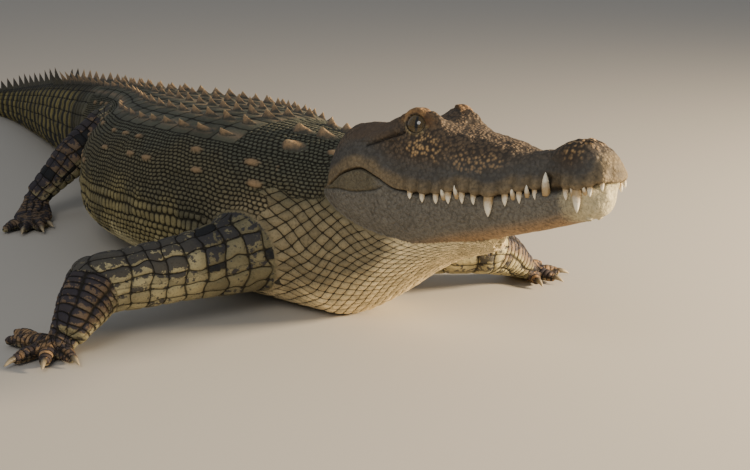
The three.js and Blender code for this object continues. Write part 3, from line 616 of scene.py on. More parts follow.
for place, length, thickness in LOWER_TEETH:
    swelling = bell(ahead * HEAD, place * HEAD, thickness) * bell(over_mouth, -11, 9)
    form += 0.07 * length * swelling
lip_crease = (1 - lobes) * bell(over_mouth, 13, 11) * toothed * (1 - notch)
form -= 2.6 * lip_crease
brow = np.hypot(np.abs(left) - table_half_width(ahead), up - table_edge_height(ahead)) * HEAD
form += 4.5 * bell(brow, 0, 9) * stretch(ahead, 0.2, 0.25, 0.36, 0.46)
form += 2.2 * bell(brow, 0, 7) * stretch(ahead, -0.02, 0.03, 0.2, 0.25)
ear, ear_along = slit_distance(*EAR_SLIT)
form -= 6 * bell(ear, 0, 2.6) * (1 - 0.6 * ear_along) * (np.abs(left) > 0.08)
form += 3 * bell(ear, 9, 7) * (up > 0.15) * (np.abs(left) > 0.08) * (ahead < 0.24)
smile = (up - SMILE(ahead)) * HEAD
smile_on = stretch(ahead, -0.09, -0.05, 0.17, 0.21)
form -= 2.6 * bell(smile, 0, 2.0) * smile_on * (np.abs(left) > 0.1)
nostril = np.hypot((ahead - 0.93) * HEAD, (np.abs(left) - 0.026) * HEAD) * (1 + 2 * (up < 0.08))
form += 3.5 * bell(nostril, 9, 4.5) - 3.5 * bell(nostril, 2, 4)
knobbly = smooth(up - jaw_line(ahead), 0.03, 0.09) * smooth(ahead, -0.1, 0.15)
form += knobbly * (1.5 * wander(points, 15, 3) + 0.9 * wander(points, 7, 4)) * (1 - 0.8 * bell(ear, 6, 12))
form += (over_mouth < -6) * 0.5 * wander(points, 10, 5)

# Eyelids hug each eyeball, and the hide dips behind the ball inside their opening.
EYE_RADIUS = 21.5
EYE_AT = (0.298, 0.094, 0.194)
LID_LENGTH, LID_HEIGHT = 19, 16.5  # half of the opening
LID_REACH = 58  # how far from the eye's centre the lids shape the hide
EYE_GAZE = (0.5, 0.84, 0.2)
LID_STRETCH = np.array([1.6, 1, 0.5])  # of the wrinkles on the lids


def eye_seat(sense):
    """An eye's centre, its gaze and the two ways across the gaze: ahead and round from that."""
    centre = head_point(EYE_AT[0], sense * EYE_AT[1], EYE_AT[2])
    gaze = unit(np.array([EYE_GAZE[0], sense * EYE_GAZE[1], EYE_GAZE[2]]) @ head_axes)
    ahead_way = unit(head_ahead - gaze * (head_ahead @ gaze))
    return centre, gaze, ahead_way, np.cross(gaze, ahead_way)


points += normals(hide.data) * (form * on_head * inside_part)[:, None]
lid_top, lid_low, lid_rim_shade = np.zeros((3, len(points)))
for sense in (-1, 1):
    centre, gaze, lid_ahead, lid_up = eye_seat(sense)
    lid_up = lid_up * np.sign(lid_up @ head_up)
    offset = points - centre
    reach = np.linalg.norm(offset, axis=1)
    a, b = offset @ lid_ahead, offset @ lid_up
    facing = offset @ gaze
    b = b + 0.16 * a
    opening = ((np.abs(a) / LID_LENGTH) ** 1.9 + (np.abs(b) / LID_HEIGHT) ** 1.9) ** (1 / 1.9)
    opening = np.where(facing > 0, opening, 4)
    near = on_head & (facing > -4) & (reach < LID_REACH)
    upper = smooth(b, -6, 6)
    thick = 1.4 + 1.2 * smooth(opening, 1.0, 1.2) + 6.4 * upper * smooth(opening, 0.98, 1.4)
    lid = EYE_RADIUS + thick
    lid_reach = lid + (np.maximum(reach, lid - 8) - lid) * smooth(opening, 1.35, 2.3)
    target = np.where(opening < 1, EYE_RADIUS - 2.5, lid_reach)
    groove = bell(opening, 1.95, 0.16) * upper * 2.4
    wrinkle = 0.9 * wander(points * LID_STRETCH, 9, 58) * smooth(opening, 1.3, 1.6)
    points[near] = (centre + offset * ((target - groove + wrinkle) / reach)[:, None])[near]
    lid_top[near] = (stretch(opening, 1.0, 1.12, 1.35, 2.3) * upper)[near]
    lid_low[near] = (stretch(opening, 1.0, 1.1, 1.3, 1.6) * (1 - upper))[near]
    # The ring just inside each lid opening is kept here for the painted shade laid on the head's colour.
    lid_rim_shade[near] = (1 - smooth(opening, 1.0, 1.08))[near]
set_positions(hide.data, points)

# Scales stand in rows. Each has a place in a grid of whole numbers: the rows are fixed angles round
# the body or leg, and the columns follow its length at the pitch of that kind of scale.
PLATE_ROWS = 17
PLATE_PITCH = (TRUNK_END - NECK_END) / PLATE_ROWS
FLOOR_GAP = 0.3  # of the lowest hide over the floor
BODY_ROWS = ((0, 0), (9.8, 1), (23, 2), (38, 3), (84, 22), (112, 29), (180, 43))
PLATES_END, GRANULES_END, BEADS_END = 38, 84, 112
THROAT_TOP, THROAT_END = 62, -100
TAIL_ROWS = 11
TAIL_PITCH = 32.2
KEEL_ANGLES = (3.9, 15.8, 30.7)  # degrees from the middle of the back
NAPE_ROWS = 12
COLUMN_STEP = 2.0


def columns(length, *keys):
    """How many pitches lie before each length, where the pitch changes along it."""
    pitch = profile(*keys)
    fine = np.arange(keys[0][0], keys[-1][0] + 1, COLUMN_STEP)
    count = np.concatenate([[0], np.cumsum(COLUMN_STEP / pitch(fine[:-1]))])
    return np.interp(length, fine, count)


from_back = np.abs((degrees - 90 + 180) % 360 - 180)
drift = wander(points, 70, 11), wander(points, 55, 12)
row_angles, row_numbers = zip(*BODY_ROWS)
v = np.interp(from_back, row_angles, row_numbers)
spread = 14 * wander(points, 90, 51) + 8 * wander(points, 30, 52)
PLATES_START = NECK_END + PLATE_PITCH
plates = on_body & (from_back < PLATES_END) & (along > PLATES_START)
granules = on_body & (from_back >= PLATES_END) & (from_back < GRANULES_END)
beads = on_body & (from_back >= GRANULES_END) & (from_back < BEADS_END)
slabs = on_body & (from_back >= BEADS_END)
under_jaw = 1 - smooth(along, -430, -310)
throat = on_body & (along + 2.2 * spread < THROAT_END)
throat &= from_back + 0.8 * spread + 80 * under_jaw >= THROAT_TOP
nape = on_body & (from_back < PLATES_END) & (along <= PLATES_START)
tail = on_body & (along >= TRUNK_END)
ends = (THROAT_FRONT - 60, TAIL_TIP + 60)
u = np.select(
    [tail, plates, nape, granules, beads, slabs],
    [columns(along, (TRUNK_END, TAIL_PITCH), (1640, TAIL_PITCH), (1700, 33.3), (2240, 33.3), (2300, 30.6),
             (2900, 30.6)),
     (along - NECK_END) / PLATE_PITCH,
     columns(along, (ends[0], 11), (ends[1], 11.1)),
     columns(along, (ends[0], 10), (-200, 10.5), (0, 11), (ends[1], 11)),
     columns(along, (ends[0], 13), (-200, 13.5), (0, 14), (ends[1], 14)),
     columns(along, (ends[0], 20), (-200, 23), (0, 25), (ends[1], 26))], 0.0)
v = np.where(nape, from_back / PLATES_END * NAPE_ROWS, v)
long_way = columns(along, (ends[0], 22), (-200, 30), (0, 36), (ends[1], 36))
round_way = np.interp(from_back, (0, 40, 95, 180), (-6, 0, 8, 18))
u, v = np.where(throat, long_way + round_way, u), np.where(throat, 90 + round_way - long_way, v)
v = np.where(tail, from_back / 180 * TAIL_ROWS, v)
stagger = np.where((granules | nape | beads) & ~tail & ~throat, 0.5, 0.0)
kinds = [tail, throat, plates, nape, granules, beads, slabs]
warp = np.select(kinds, [0.06, 0.22, 0.05, 0.45, 0.5, 0.3, 0.16], 0.0)
pillow = np.select(kinds, [2.2, 2.6, 2.0, 1.6, 1.7, 3.0, 2.4], 0.0)
seam_width = np.select(kinds, [0.1, 0.12, 0.1, 0.36, 0.36, 0.32, 0.14], 0.1)
roundness = np.select(kinds, [8, 6, 7, 2.6, 2.6, 2.8, 6], 5.0)

RIGHT_SIDE_ROWS = 400  # the right side's rows are numbered from here
LEG_SCALES = {  # pitch along, rows round, pillow, seam width
    "fore_upper": (36, 13, 2.8, 0.12), "fore_lower": (12, 7, 2.6, 0.26), "fore_sole": (9.5, 7, 1.8, 0.28),
    "fore_toe": (8, 2, 1.8, 0.28), "hind_upper": (25, 12, 2.8, 0.13), "hind_lower": (22, 9, 2.8, 0.14),
    "hind_sole": (10.5, 8, 1.8, 0.28), "hind_toe": (8.5, 2, 1.8, 0.28)}
for number, tube in enumerate(tubes):
    kind = tube["name"].replace("_right", "").replace("_left", "")
    kind = kind[:kind.index("toe") + 3] if "toe" in kind else kind
    pitch, rows, height, width = LEG_SCALES[kind]
    mine = on_leg & (which == number)
    u = np.where(mine, leg_along / pitch + 60 * number, u)
    v = np.where(mine, leg_turn / 360 * rows + 200 + 0.5 * (rows % 2), v)
    pillow = np.where(mine, height, pillow)
    seam_width = np.where(mine, width, seam_width)
    warp = np.where(mine, 0.34, warp)
    roundness = np.where(mine, 7, roundness)
flutter = wander(points, 24, 13), wander(points, 22, 14)
u = u + warp * (drift[0] * 1.4 + 0.5 * flutter[0])
on_right = on_body & (degrees > 90) & (degrees < 270)
v = v + np.where(on_right, RIGHT_SIDE_ROWS, 0) + warp * (0.8 * drift[1] + 0.5 * flutter[1])
row = np.floor(v)
u = u + stagger * (row % 2)
across_u, across_v = np.abs(2 * (u - np.floor(u)) - 1), np.abs(2 * (v - row) - 1)
to_edge = (across_u ** roundness + across_v ** roundness) ** (1 / roundness)
shape_height = pillow * (1 - np.clip(to_edge, 0, 1.2) ** 4) * inside_part
shape_height *= 0.8 + 0.4 * hashed(np.floor(u), row, 5)

# Single larger scutes stand among the granules of the flank, in broken rows.
FLANK_ROWS = ((47, 33, 0), (60, 0, 30), (74, 20, 45))
scute = np.zeros(len(points))
millimetres_per_degree = 2.6 * body_half_width(along) / 180 + 1.2
for i, (row_angle, shift, jitter) in enumerate(FLANK_ROWS):
    k = np.floor((along - shift) / PLATE_PITCH)
    chance = hashed(k, k * 0 + i, 26)
    centre_at = (k + 0.5) * PLATE_PITCH + shift + (chance - 0.5) * jitter
    size = 11 + 7 * hashed(k, k * 0 + i, 33)
    from_row = (from_back - row_angle) * millimetres_per_degree
    oval = ((along - centre_at) / size) ** 2 + (from_row / (0.6 * size)) ** 2
    scute = np.maximum(scute, np.exp(-oval ** 2) * (chance > (0.15, 0.5, 0.6)[i]))
scute *= on_body & (along > -120) & (along < 1000)
shape_height = shape_height * (1 - smooth(scute, 0.3, 0.7)) + 5.5 * scute
ripple = on_body * stretch(from_back, 30, 60, 100, 130) * smooth(along, -200, 0)
shape_height += ripple * 2.6 * wander(points * np.array([1, 0.3, 1.5]), 24, 31)
shape_height += on_leg * (leg_along > 20) * 1.3 * wander(points, 30, 32)
shape_height *= smooth(points[:, 2], 1, 9) * 0.9 + 0.1
points = points + normals(hide.data) * shape_height[:, None]
points[:, 2] = np.maximum(points[:, 2], FLOOR_GAP)
set_positions(hide.data, points)


def paint(red, green, blue):
    """A scene colour from the everyday 0 to 255 scale."""
    value = np.array([red, green, blue]) / 255
    return np.where(value <= 0.04045, value / 12.92, ((value + 0.055) / 1.055) ** 2.4)


def over(under, top, amount):
    return under + (top - under) * np.asarray(amount)[:, None]


def layered(under, *coats):
    """Lays each coat (colour, amount) over what is under it."""
    for colour, amount in coats:
        under = over(under, colour, amount)
    return under


BACK, GRANULE, BEAD = paint(84, 85, 72), paint(98, 93, 72), paint(142, 130, 90)
CREAM, THROAT, TAN = paint(206, 192, 146), paint(236, 214, 166), paint(156, 130, 98)
OLIVE, TAIL_DARK = paint(132, 120, 72), paint(52, 49, 38)
LEG_PALE, LEG_BROWN = paint(164, 154, 118), paint(112, 94, 76)
TOES, KEEL_SIDE, NECK_SIDE = paint(158, 126, 90), paint(140, 118, 94), paint(136, 124, 96)
HEAD_TOP, HEAD_SIDE, LIP = paint(110, 94, 76), paint(92, 89, 84), paint(136, 120, 94)
NOSE_DARK, JAW, JAW_EDGE_BOUNCE = paint(80, 66, 52), paint(126, 122, 112), paint(184, 146, 100)
CHIN, POUCH, FLAP = paint(212, 200, 164), paint(118, 110, 90), paint(98, 84, 70)
BROW, LID_DARK, LOW_LID = paint(164, 128, 88), paint(84, 62, 46), paint(168, 150, 114)

low = from_back + spread + 90 * under_jaw
front = 1 - smooth(along, -120, 40)
keel_line = np.maximum.reduce([bell(from_back, angle, 3) for angle in KEEL_ANGLES])
band = np.abs((along - TRUNK_END) / TAIL_PITCH % 2 - 1)
bars = smooth(from_back, 24, 44) * (1 - smooth(band, 0.4, 0.52)) * smooth(along, 1120, 1300)
tint = layered(
    np.tile(GRANULE, (len(points), 1)),
    (BACK, on_body * (1 - smooth(low, 34, 66))),
    (BEAD, on_body * smooth(low, 80, 100)),
    (CREAM, on_body * smooth(low, 104, 128)),
    (NECK_SIDE, on_body * smooth(low, 58, 84) * front),
    (THROAT, on_body * smooth(low, 104, 142) * front),
    (KEEL_SIDE, 0.6 * keel_line * plates * smooth(wander(points, 16, 53), -0.6, 0.2)),
    (TAIL_DARK, tail * (1 - smooth(from_back, 130, 160)) * smooth(along, 1020, 1200)),
    (OLIVE, tail * bars),
    (TAN, scute))

leg_name = np.array([tube["name"] for tube in tubes] + ["none"])[which]
is_fore, is_upper, is_lower, is_sole, is_toe = (
    np.char.find(leg_name, word) >= 0 for word in ("fore", "upper", "lower", "sole", "toe"))
is_foot = is_sole | is_toe
leg_upward = normals(hide.data)[:, 2]
near_root = 1 - smooth(leg_along, 120, 190)
tint = layered(
    tint,
    (LEG_PALE, on_leg * (1 - 0.75 * near_root * is_upper)),
    (LEG_BROWN, on_leg * is_lower * smooth(leg_upward + 0.3 * wander(points, 30, 54), -0.4, 0.2)),
    (LEG_BROWN, on_leg * is_foot * smooth(leg_upward, -0.4, 0.2)),
    (TOES, on_leg * is_fore * is_foot * smooth(wander(points, 16, 55), -0.5, 0.4)))
dusky = smooth(leg_upward, 0.05, 0.75) * on_leg * (is_upper | is_lower)
mottle = on_leg * np.where(is_foot, 0.34, 0.16 + 0.5 * dusky) * (1 - 0.35 * near_root * is_upper)

side_up = smooth(up - jaw_line(ahead), 0.07, 0.15)
in_jaw = over_mouth < -1
under = (jaw_underside(ahead) - up) * HEAD
flap = (np.abs(left) > 0.09) * smooth(up, 0.15, 0.17) * stretch(ahead, 0.0, 0.05, 0.2, 0.26)
head_tint = layered(
    np.tile(LIP, (len(points), 1)),
    (HEAD_SIDE, smooth(over_mouth + 6 * wander(points, 20, 56), 14, 30)),
    (HEAD_TOP, side_up),
    (LIP, smooth(ahead, 0.97, 1.01) * (over_mouth > 0)),
    (NOSE_DARK, bell(ahead, 0.9, 0.05) * smooth(up, 0.03, 0.09) * 0.8),
    (JAW, in_jaw),
    # Painted reflection: the lower edge of the jaw is painted warm and pale, as if lit by light bounced up
    # from below.
    (JAW_EDGE_BOUNCE, in_jaw * smooth(under, -26, -2) * 0.75),
    (CHIN, in_jaw * smooth(ahead + 0.02 * wander(points, 20, 57), 0.84, 0.92)),
    (POUCH, in_jaw * (smile > 0) * (1 - smooth(ahead, 0.14, 0.2))),
    (FLAP, flap),
    (BROW, lid_top),
    (LID_DARK, 0.75 * lid_top * smooth(wander(points * LID_STRETCH, 9, 58), -0.1, 0.35)),
    (LOW_LID, lid_low))
tint = np.where(on_head[:, None], head_tint, tint)
# Painted shade: the shut mouth, the ear slits, the smile fold, the lip creases and the ring inside each eye
# opening are darkened in the colour, as if in shadow.
crease_shade = np.maximum(shut, bell(ear, 0, 2.2) * (np.abs(left) > 0.08) * 0.9)
crease_shade = np.maximum(crease_shade, bell(smile, 0, 1.4) * smile_on * (np.abs(left) > 0.1) * 0.7)
crease_shade = np.maximum.reduce([crease_shade, 0.65 * lip_crease, lid_rim_shade])
tint = tint * (1 - 0.86 * crease_shade * on_head)[:, None]

blotch = np.select(
    [on_leg & is_upper, on_leg & is_lower & ~is_fore, slabs & (along > 330),
     beads & (along > 400) & (from_back > 92), slabs & (along > -140) & (along < 0)],
    [0.05, 0.14, 0.32, 0.2, 0.1], 0.0)
# Painted highlight: knobs on the brows, along the snout and at the nose are painted pale where they would
# catch the light.
lit_knobs = bell(ahead, 0.36, 0.07) * bell(up, 0.125, 0.035)
lit_knobs += bell(ahead, 0.56, 0.12) * bell(up, 0.075, 0.035)
lit_knobs += 0.6 * bell(ahead, 0.92, 0.07) * smooth(up, 0.04, 0.09) + 0.15 * side_up
lit_knobs = np.clip(lit_knobs, 0, 1) * (1 - flap) * on_head
pebble = on_head * np.where(over_mouth > 0, 0.4 + 0.6 * side_up, 0.25)
pebble = pebble * (1 - 0.75 * flap) * (1 - 0.6 * lid_top)


def store(mesh, name, kind, values):
    """Keeps one value for each vertex under a name that the finish reads."""
    layer = mesh.attributes.new(name, kind, "POINT")
    field = {"FLOAT": "value", "FLOAT_VECTOR": "vector", "FLOAT_COLOR": "color"}[kind]
    layer.data.foreach_set(field, np.asarray(values, np.float32).ravel())


for name, kind, values in (
        ("scale_grid", "FLOAT_VECTOR", np.stack([u, v, seam_width], -1)),
        ("tint", "FLOAT_COLOR", np.column_stack([tint, np.ones(len(tint))])),
        ("seams", "FLOAT", np.where(on_head, 0, inside_part * (1 - smooth(scute, 0.3, 0.7)))),
        ("grid_round", "FLOAT", roundness),
        ("marks_and_knob_light", "FLOAT_VECTOR", np.stack([blotch, mottle, lit_knobs], -1)),
        ("pebble", "FLOAT", pebble),
        ("jaw_skin", "FLOAT", on_head * (over_mouth < -2) * (1 - 0.7 * smooth(ahead, 0.86, 0.93)))):
    store(hide.data, name, kind, values)


def shade_smooth(mesh):
    mesh.polygons.foreach_set("use_smooth", np.ones(len(mesh.polygons), bool))


# The hide unrolled flat: one strip for the body, one for the head and one for each length of a leg.
# Each strip's corner, width and height; the legs' strips stand in a grid of eight columns.
BODY_STRIP, HEAD_STRIP = (0.005, 0.005, 0.99, 0.42), (0.005, 0.44, 0.6, 0.28)
LEG_COLUMNS = 8


def leg_strip(number):
    row, column = divmod(number, LEG_COLUMNS)
    return 0.62 + 0.046 * column, 0.44 + 0.11 * row, 0.04, 0.09


def unroll(mesh):
    """Gives the hide the flat map OFBake. A face lies whole in the strip of its first corner."""
    corner = np.empty(len(mesh.loops), np.int32)
    mesh.loops.foreach_get("vertex_index", corner)
    start, total = np.empty((2, len(mesh.polygons)), np.int32)
    mesh.polygons.foreach_get("loop_start", start)
    mesh.polygons.foreach_get("loop_total", total)
    lead = corner[np.repeat(start, total)]
    body_length = (along - THROAT_FRONT + 60) / (TAIL_TIP - THROAT_FRONT + 120)
    head_turn = np.degrees(np.arctan2(up - 0.02, left))
    strips = [
        (on_body, body_length, degrees, BODY_STRIP),
        (on_head, (ahead + 0.2) / 1.28, head_turn, HEAD_STRIP)]
    for number, tube in enumerate(tubes):
        own_length = leg_along / (tube["length"][-1] + 60) + 0.1
        strips.append((on_leg & (which == number), own_length, leg_turn, leg_strip(number)))
    flat = np.zeros((len(corner), 2))
    for holds, length, turn, (x, y, width, height) in strips:
        mine = holds[lead]
        lead_turn = turn[lead[mine]]
        own_turn = lead_turn + (turn[corner[mine]] - lead_turn + 180) % 360 - 180
        flat[mine, 0] = x + width * np.clip(length[corner[mine]], 0, 1)
        flat[mine, 1] = y + height * np.clip((own_turn - turn.min()) / 360, -0.02, 1.02)
    layer = mesh.uv_layers.new(name="OFBake")
    layer.data.foreach_set("uv", flat.astype(np.float32).ravel())


def operator(operation, reflected=False):
    """A method that joins a field and another value by one Math node."""
    def join(field, other):
        return field.maths(operation, *((other, field) if reflected else (field, other)))

    return join


class Field:
    """A value in a finish. Arithmetic on it adds Math nodes."""

    def __init__(self, finish, socket):
        self.finish, self.socket = finish, socket

    def maths(self, operation, *values):
        return self.finish.node("Math", dict(operation=operation), dict(enumerate(values)))

    __add__ = __radd__ = operator("ADD")
    __mul__ = __rmul__ = operator("MULTIPLY")
    __sub__, __rsub__ = operator("SUBTRACT"), operator("SUBTRACT", reflected=True)
    __truediv__, __rtruediv__ = operator("DIVIDE"), operator("DIVIDE", reflected=True)
    __pow__ = operator("POWER")

    def whole(self):
        return self.maths("FLOOR", self)

    def size(self):
        return self.maths("ABSOLUTE", self)

    def step(self, low, high):
        """0 below low, 1 above high, with a soft step."""
        return self.finish.node("MapRange", dict(interpolation_type="SMOOTHSTEP"), {
            "Value": self, "From Min": low, "From Max": high, "To Min": 0.0, "To Max": 1.0})


class Finish:
    """A material whose looks are worked out by nodes. Values that don't vary sit on the shader's sockets."""

    def __init__(self, name, **fixed):
        self.material = bpy.data.materials.new(name)
        self.material.use_nodes = True
        self.tree = self.material.node_tree
        self.shader = self.tree.nodes["Principled BSDF"]
        for key, value in fixed.items():
            self.shader.inputs[key.replace("_", " ")].default_value = value

    def node(self, kind, settings, sockets, output=0):
        made = self.tree.nodes.new("ShaderNode" + kind)
        for key, value in settings.items():
            setattr(made, key, value)
        for key, value in sockets.items():
            if isinstance(value, Field):
                self.tree.links.new(value.socket, made.inputs[key])
            else:
                made.inputs[key].default_value = value
        return Field(self, made.outputs[output])

    def attribute(self, name, output="Fac"):
        return self.node("Attribute", dict(attribute_name=name), {}, output)

    def place(self):
        return self.node("TexCoord", {}, {}, "Object")

    def noise(self, size, detail=3.0):
        """Soft noise from 0 to 1 with lumps of about that many millimetres."""
        return self.node("TexNoise", {}, {
            "Vector": self.place(), "Scale": 1 / (size * MM), "Detail": detail, "Roughness": 0.6})

    def mix(self, amount, a, b, blend="MIX"):
        a, b = (value if isinstance(value, Field) else (*value, 1) for value in (a, b))
        return self.node("Mix", dict(data_type="RGBA", blend_type=blend), {0: amount, 6: a, 7: b}, 2)

    def shaded(self, tint, shade):
        return self.mix(1.0, tint, self.node("CombineColor", {}, {0: shade, 1: shade, 2: shade}), "MULTIPLY")

    def knobs(self, size):
        """How far each point is from the middle of its own little lump, of about that many millimetres."""
        return self.node("TexVoronoi", dict(feature="F1"), {
            "Vector": self.place(), "Scale": 1 / (size * MM)}, "Distance")

    def bump(self, height, depth):
        """A bump as deep as that many millimetres where the height goes from 0 to 1."""
        return self.node("Bump", {}, {"Height": height, "Distance": depth * MM, "Strength": 1.0})

    def wear(self, **links):
        for key, value in links.items():
            self.tree.links.new(value.socket, self.shader.inputs[key.replace("_", " ")])
        return self.material


DUSK, BLOTCH, SPECK, SEAM = paint(40, 42, 54), paint(30, 32, 34), paint(52, 48, 40), paint(32, 29, 23)
KNOB_HIGHLIGHT, BETWEEN_KNOBS = paint(196, 160, 112), paint(44, 42, 40)
PORE, BETWEEN_PORES = paint(52, 48, 44), paint(70, 64, 56)


def hide_finish():
    finish = Finish("scaly_hide", Specular_IOR_Level=0.22)
    grid = finish.attribute("scale_grid", "Vector")
    u, v, width = (finish.node("SeparateXYZ", {}, {0: grid}, i) for i in range(3))
    column, row = u.whole(), v.whole()
    power = finish.attribute("grid_round")
    across_u, across_v = ((2 * (u - column)) - 1).size(), ((2 * (v - row)) - 1).size()
    edge = ((across_u ** power) + (across_v ** power)) ** (1 / power)
    seams = finish.attribute("seams")
    cell = finish.node("CombineXYZ", {}, {0: column, 1: row})
    chance = finish.node("TexWhiteNoise", dict(noise_dimensions="3D"), {"Vector": cell}, "Value")
    second = finish.node("TexWhiteNoise", dict(noise_dimensions="2D"), {"Vector": cell}, "Value")
    broad, fine, grain = finish.noise(26), finish.noise(6), finish.noise(1.6, 2.0)
    middle = finish.noise(11, 4.0)
    seam = (edge + 0.1 * (fine - 0.5)).step(1 - width * (0.7 + 0.6 * chance), 1.0) * seams
    shade = 0.66 + 0.4 * chance * seams + 0.2 * (1 - seams) + 0.4 * (broad - 0.5) + 0.55 * (fine - 0.5)
    # Painted highlight: each scale is lighter towards its middle.
    shade = shade + 0.22 * (1 - edge).step(0.0, 0.9) * seams
    tint = finish.attribute("tint", "Color")
    tint = finish.shaded(tint, shade)
    marks_and_knob_light = finish.attribute("marks_and_knob_light", "Vector")
    blotch, mottle, lit = (finish.node("SeparateXYZ", {}, {0: marks_and_knob_light}, i) for i in range(3))
    dusk = mottle + 1.9 * (middle - 0.5) + 0.6 * (fine - 0.5) - 0.4 * second
    dusk = dusk.step(0.06, 0.2) * mottle.step(0.02, 0.1)
    tint = finish.mix(dusk * 0.84, tint, DUSK)
    dark = (blotch - second).step(-0.01, 0.01) * (fine + 0.35).step(0.3, 0.6)
    tint = finish.mix(dark * 0.9, tint, BLOTCH)
    speck = finish.noise(4, 1.0).step(0.55, 0.68)
    tint = finish.mix(speck * 0.3, tint, SPECK)
    pebble = finish.attribute("pebble")
    knobs = finish.knobs(6)
    knob = (1 - knobs.step(0.15, 0.62)) * pebble
    # Painted highlight: the head's knobs are painted pale where lit is high.
    tint = finish.mix(knob * (lit + 1.4 * (middle - 0.5)).step(0.35, 0.8) * 0.85, tint, KNOB_HIGHLIGHT)
    tint = finish.mix(knobs.step(0.4, 0.72) * pebble * 0.75, tint, BETWEEN_KNOBS)
    jaw_skin = finish.attribute("jaw_skin")
    pores = finish.knobs(5)
    pore = 1 - pores.step(0.1, 0.32)
    tint = finish.mix(pore * jaw_skin * fine.step(0.4, 0.6) * 0.55, tint, PORE)
    tint = finish.mix(pores.step(0.5, 0.8) * jaw_skin * 0.35, tint, BETWEEN_PORES)
    tint = finish.mix(seam * 0.9, tint, SEAM)
    height = (1 - seam) + knob * 0.9 + 0.3 * fine + 0.16 * grain + 0.3 * middle
    height = height - 0.5 * pores.step(0.45, 0.8) * jaw_skin
    rough = 0.56 + 0.24 * fine + 0.12 * seam
    return finish.wear(Base_Color=tint, Roughness=rough, Normal=finish.bump(height, 1.8))


unroll(hide.data)
hide.data.materials.clear()
hide.data.materials.append(hide_finish())
hide.data.polygons.foreach_set("material_index", np.zeros(len(hide.data.polygons), np.int32))
shade_smooth(hide.data)
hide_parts(*[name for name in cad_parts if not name.startswith(("eye", "claw"))])
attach(hide, "root")

# ---- Keels and crest ----------------------------------------------------------------------------
# Horn-sheathed bone blades grown on the scutes: low leaning keels on the nape and the back, and the
# tall thin fins of the tail, in two rows that close up into one.

KEEL_STEPS, KEEL_SIDES = 14, 8
KEEL_ROOT = 5  # how deep a keel's edges reach under the hide
LAST_OUTER_KEEL = 10
TAIL_LENGTHS = ((1060, 1640), (1640, 2240), (2240, 2790))
FINS_IN_LENGTH = 9
BROWN_FINS_END, TWO_ROWS_END = 1500, 1640


def blade(base_at, ways, sizes, peak, lean, climb, thin):
    """A closed keel: a ridge that climbs slowly to its peak and drops behind it."""
    along_way, across_way, up_way = ways
    length, width, height = sizes
    t = np.linspace(-1, 1, KEEL_STEPS)[:, None]
    c = np.linspace(-1, 1, 2 * KEEL_SIDES + 1)[None]
    rising, falling = np.clip((t + 1) / (peak + 1), 0, 1), np.clip((1 - t) / (1 - peak), 0, 1)
    ridge = np.where(t < peak, rising ** climb, falling ** 0.9)
    half = width / 2 * np.sqrt(np.clip(1 - t * t, 0, 1)) ** 0.8
    rise = ridge * height * (1 - np.abs(c)) ** thin
    forward = t * length / 2 + lean * rise
    place = (base_at + forward[..., None] * along_way + (half * c)[..., None] * across_way
             + (rise - KEEL_ROOT * np.abs(c) ** 3)[..., None] * up_way)
    index = np.arange(rise.size).reshape(rise.shape)
    under = np.concatenate([index[:, 0], index[::-1, -1]]).tolist()
    return place, grid_walls(index).tolist() + [under], rise / height


def joined(name, shapes):
    """One smooth mesh of closed shapes, each (points, faces, how far up the shape each point is)."""
    all_points, all_faces, all_rises = [], [], []
    first = 0
    for shape_points, shape_faces, rise in shapes:
        all_points.append(shape_points.reshape(-1, 3))
        all_faces += [[first + i for i in face] for face in shape_faces]
        all_rises.append(np.broadcast_to(rise, shape_points.shape[:2]).ravel())
        first += len(all_points[-1])
    made = new_mesh_object(name, np.vstack(all_points), all_faces)
    store(made.data, "rise", "FLOAT", np.concatenate(all_rises))
    shade_smooth(made.data)
    return made


def grow_keels(name, rows, seed, climb, thin):
    """One mesh of keels, each (along, degrees from the back, length, width, height, peak, lean)."""
    random = np.random.default_rng(seed)
    keels = []
    for where, angle, length, width, height, peak, lean in rows:
        base_at = hide_point(where, 90 + angle, -FLESH_INSET)
        along_way = unit(hide_point(where + 8, 90 + angle) - hide_point(where - 8, 90 + angle))
        across_way = unit(hide_point(where, 88 + angle) - hide_point(where, 92 + angle))
        up_way = np.cross(along_way, across_way)
        up_way *= np.sign(up_way[2])
        vary = random.uniform(0.86, 1.12, 3)
        keels.append(blade(
            base_at, (along_way, across_way, up_way), np.array([length, width, height]) * vary, peak, lean,
            climb, thin))
    return joined(name, keels)


def horn_finish(name, low, high, tip):
    finish = Finish(name, Specular_IOR_Level=0.4)
    rise = finish.attribute("rise")
    grain, ridge = finish.noise(5), finish.noise(14)
    tint = finish.mix((rise + 0.7 * (ridge - 0.5)).step(0.12, 0.62), low, high)
    tint = finish.mix((rise + 0.3 * (grain - 0.5)).step(0.6, 1.0) * 0.7, tint, tip)
    shade = 0.55 + 0.9 * grain
    tint = finish.shaded(tint, shade)
    return finish.wear(Base_Color=tint, Roughness=0.45 + 0.3 * grain, Normal=finish.bump(grain + ridge, 2.5))


back_rows = []
for k in range(1, PLATE_ROWS):
    where = NECK_END + (k + 0.5) * PLATE_PITCH
    for angle, height in zip(KEEL_ANGLES, (19, 19, 16)):
        if angle > 30 and k > LAST_OUTER_KEEL:
            continue
        for sense in (-1, 1):
            back_rows.append((where, sense * angle, 66, 30, height, 0.4, 0.25))
nape_rows = [
    (where, sense * angle, 60, 36, height, 0.3, 0.2)
    for where, angle, height in ((-150, 9, 17), (-96, 10, 18), (-120, 28, 15), (-226, 9, 9), (-214, 26, 9))
    for sense in (-1, 1)]
fin_height = profile((1060, 24), (1300, 35), (1600, 44), (1900, 46), (2300, 38), (2760, 14))
near_fins, fin_rows = [], []
for start, end in TAIL_LENGTHS:
    for k in range(FINS_IN_LENGTH):
        where = start + (k + 0.5) * (end - start) / FINS_IN_LENGTH
        for angle in ((-15, 15) if where < TWO_ROWS_END else (0,)):
            crest = near_fins if where < BROWN_FINS_END else fin_rows
            crest.append((where, angle, 76, 18, float(fin_height(where)), 0.42, 0.3))

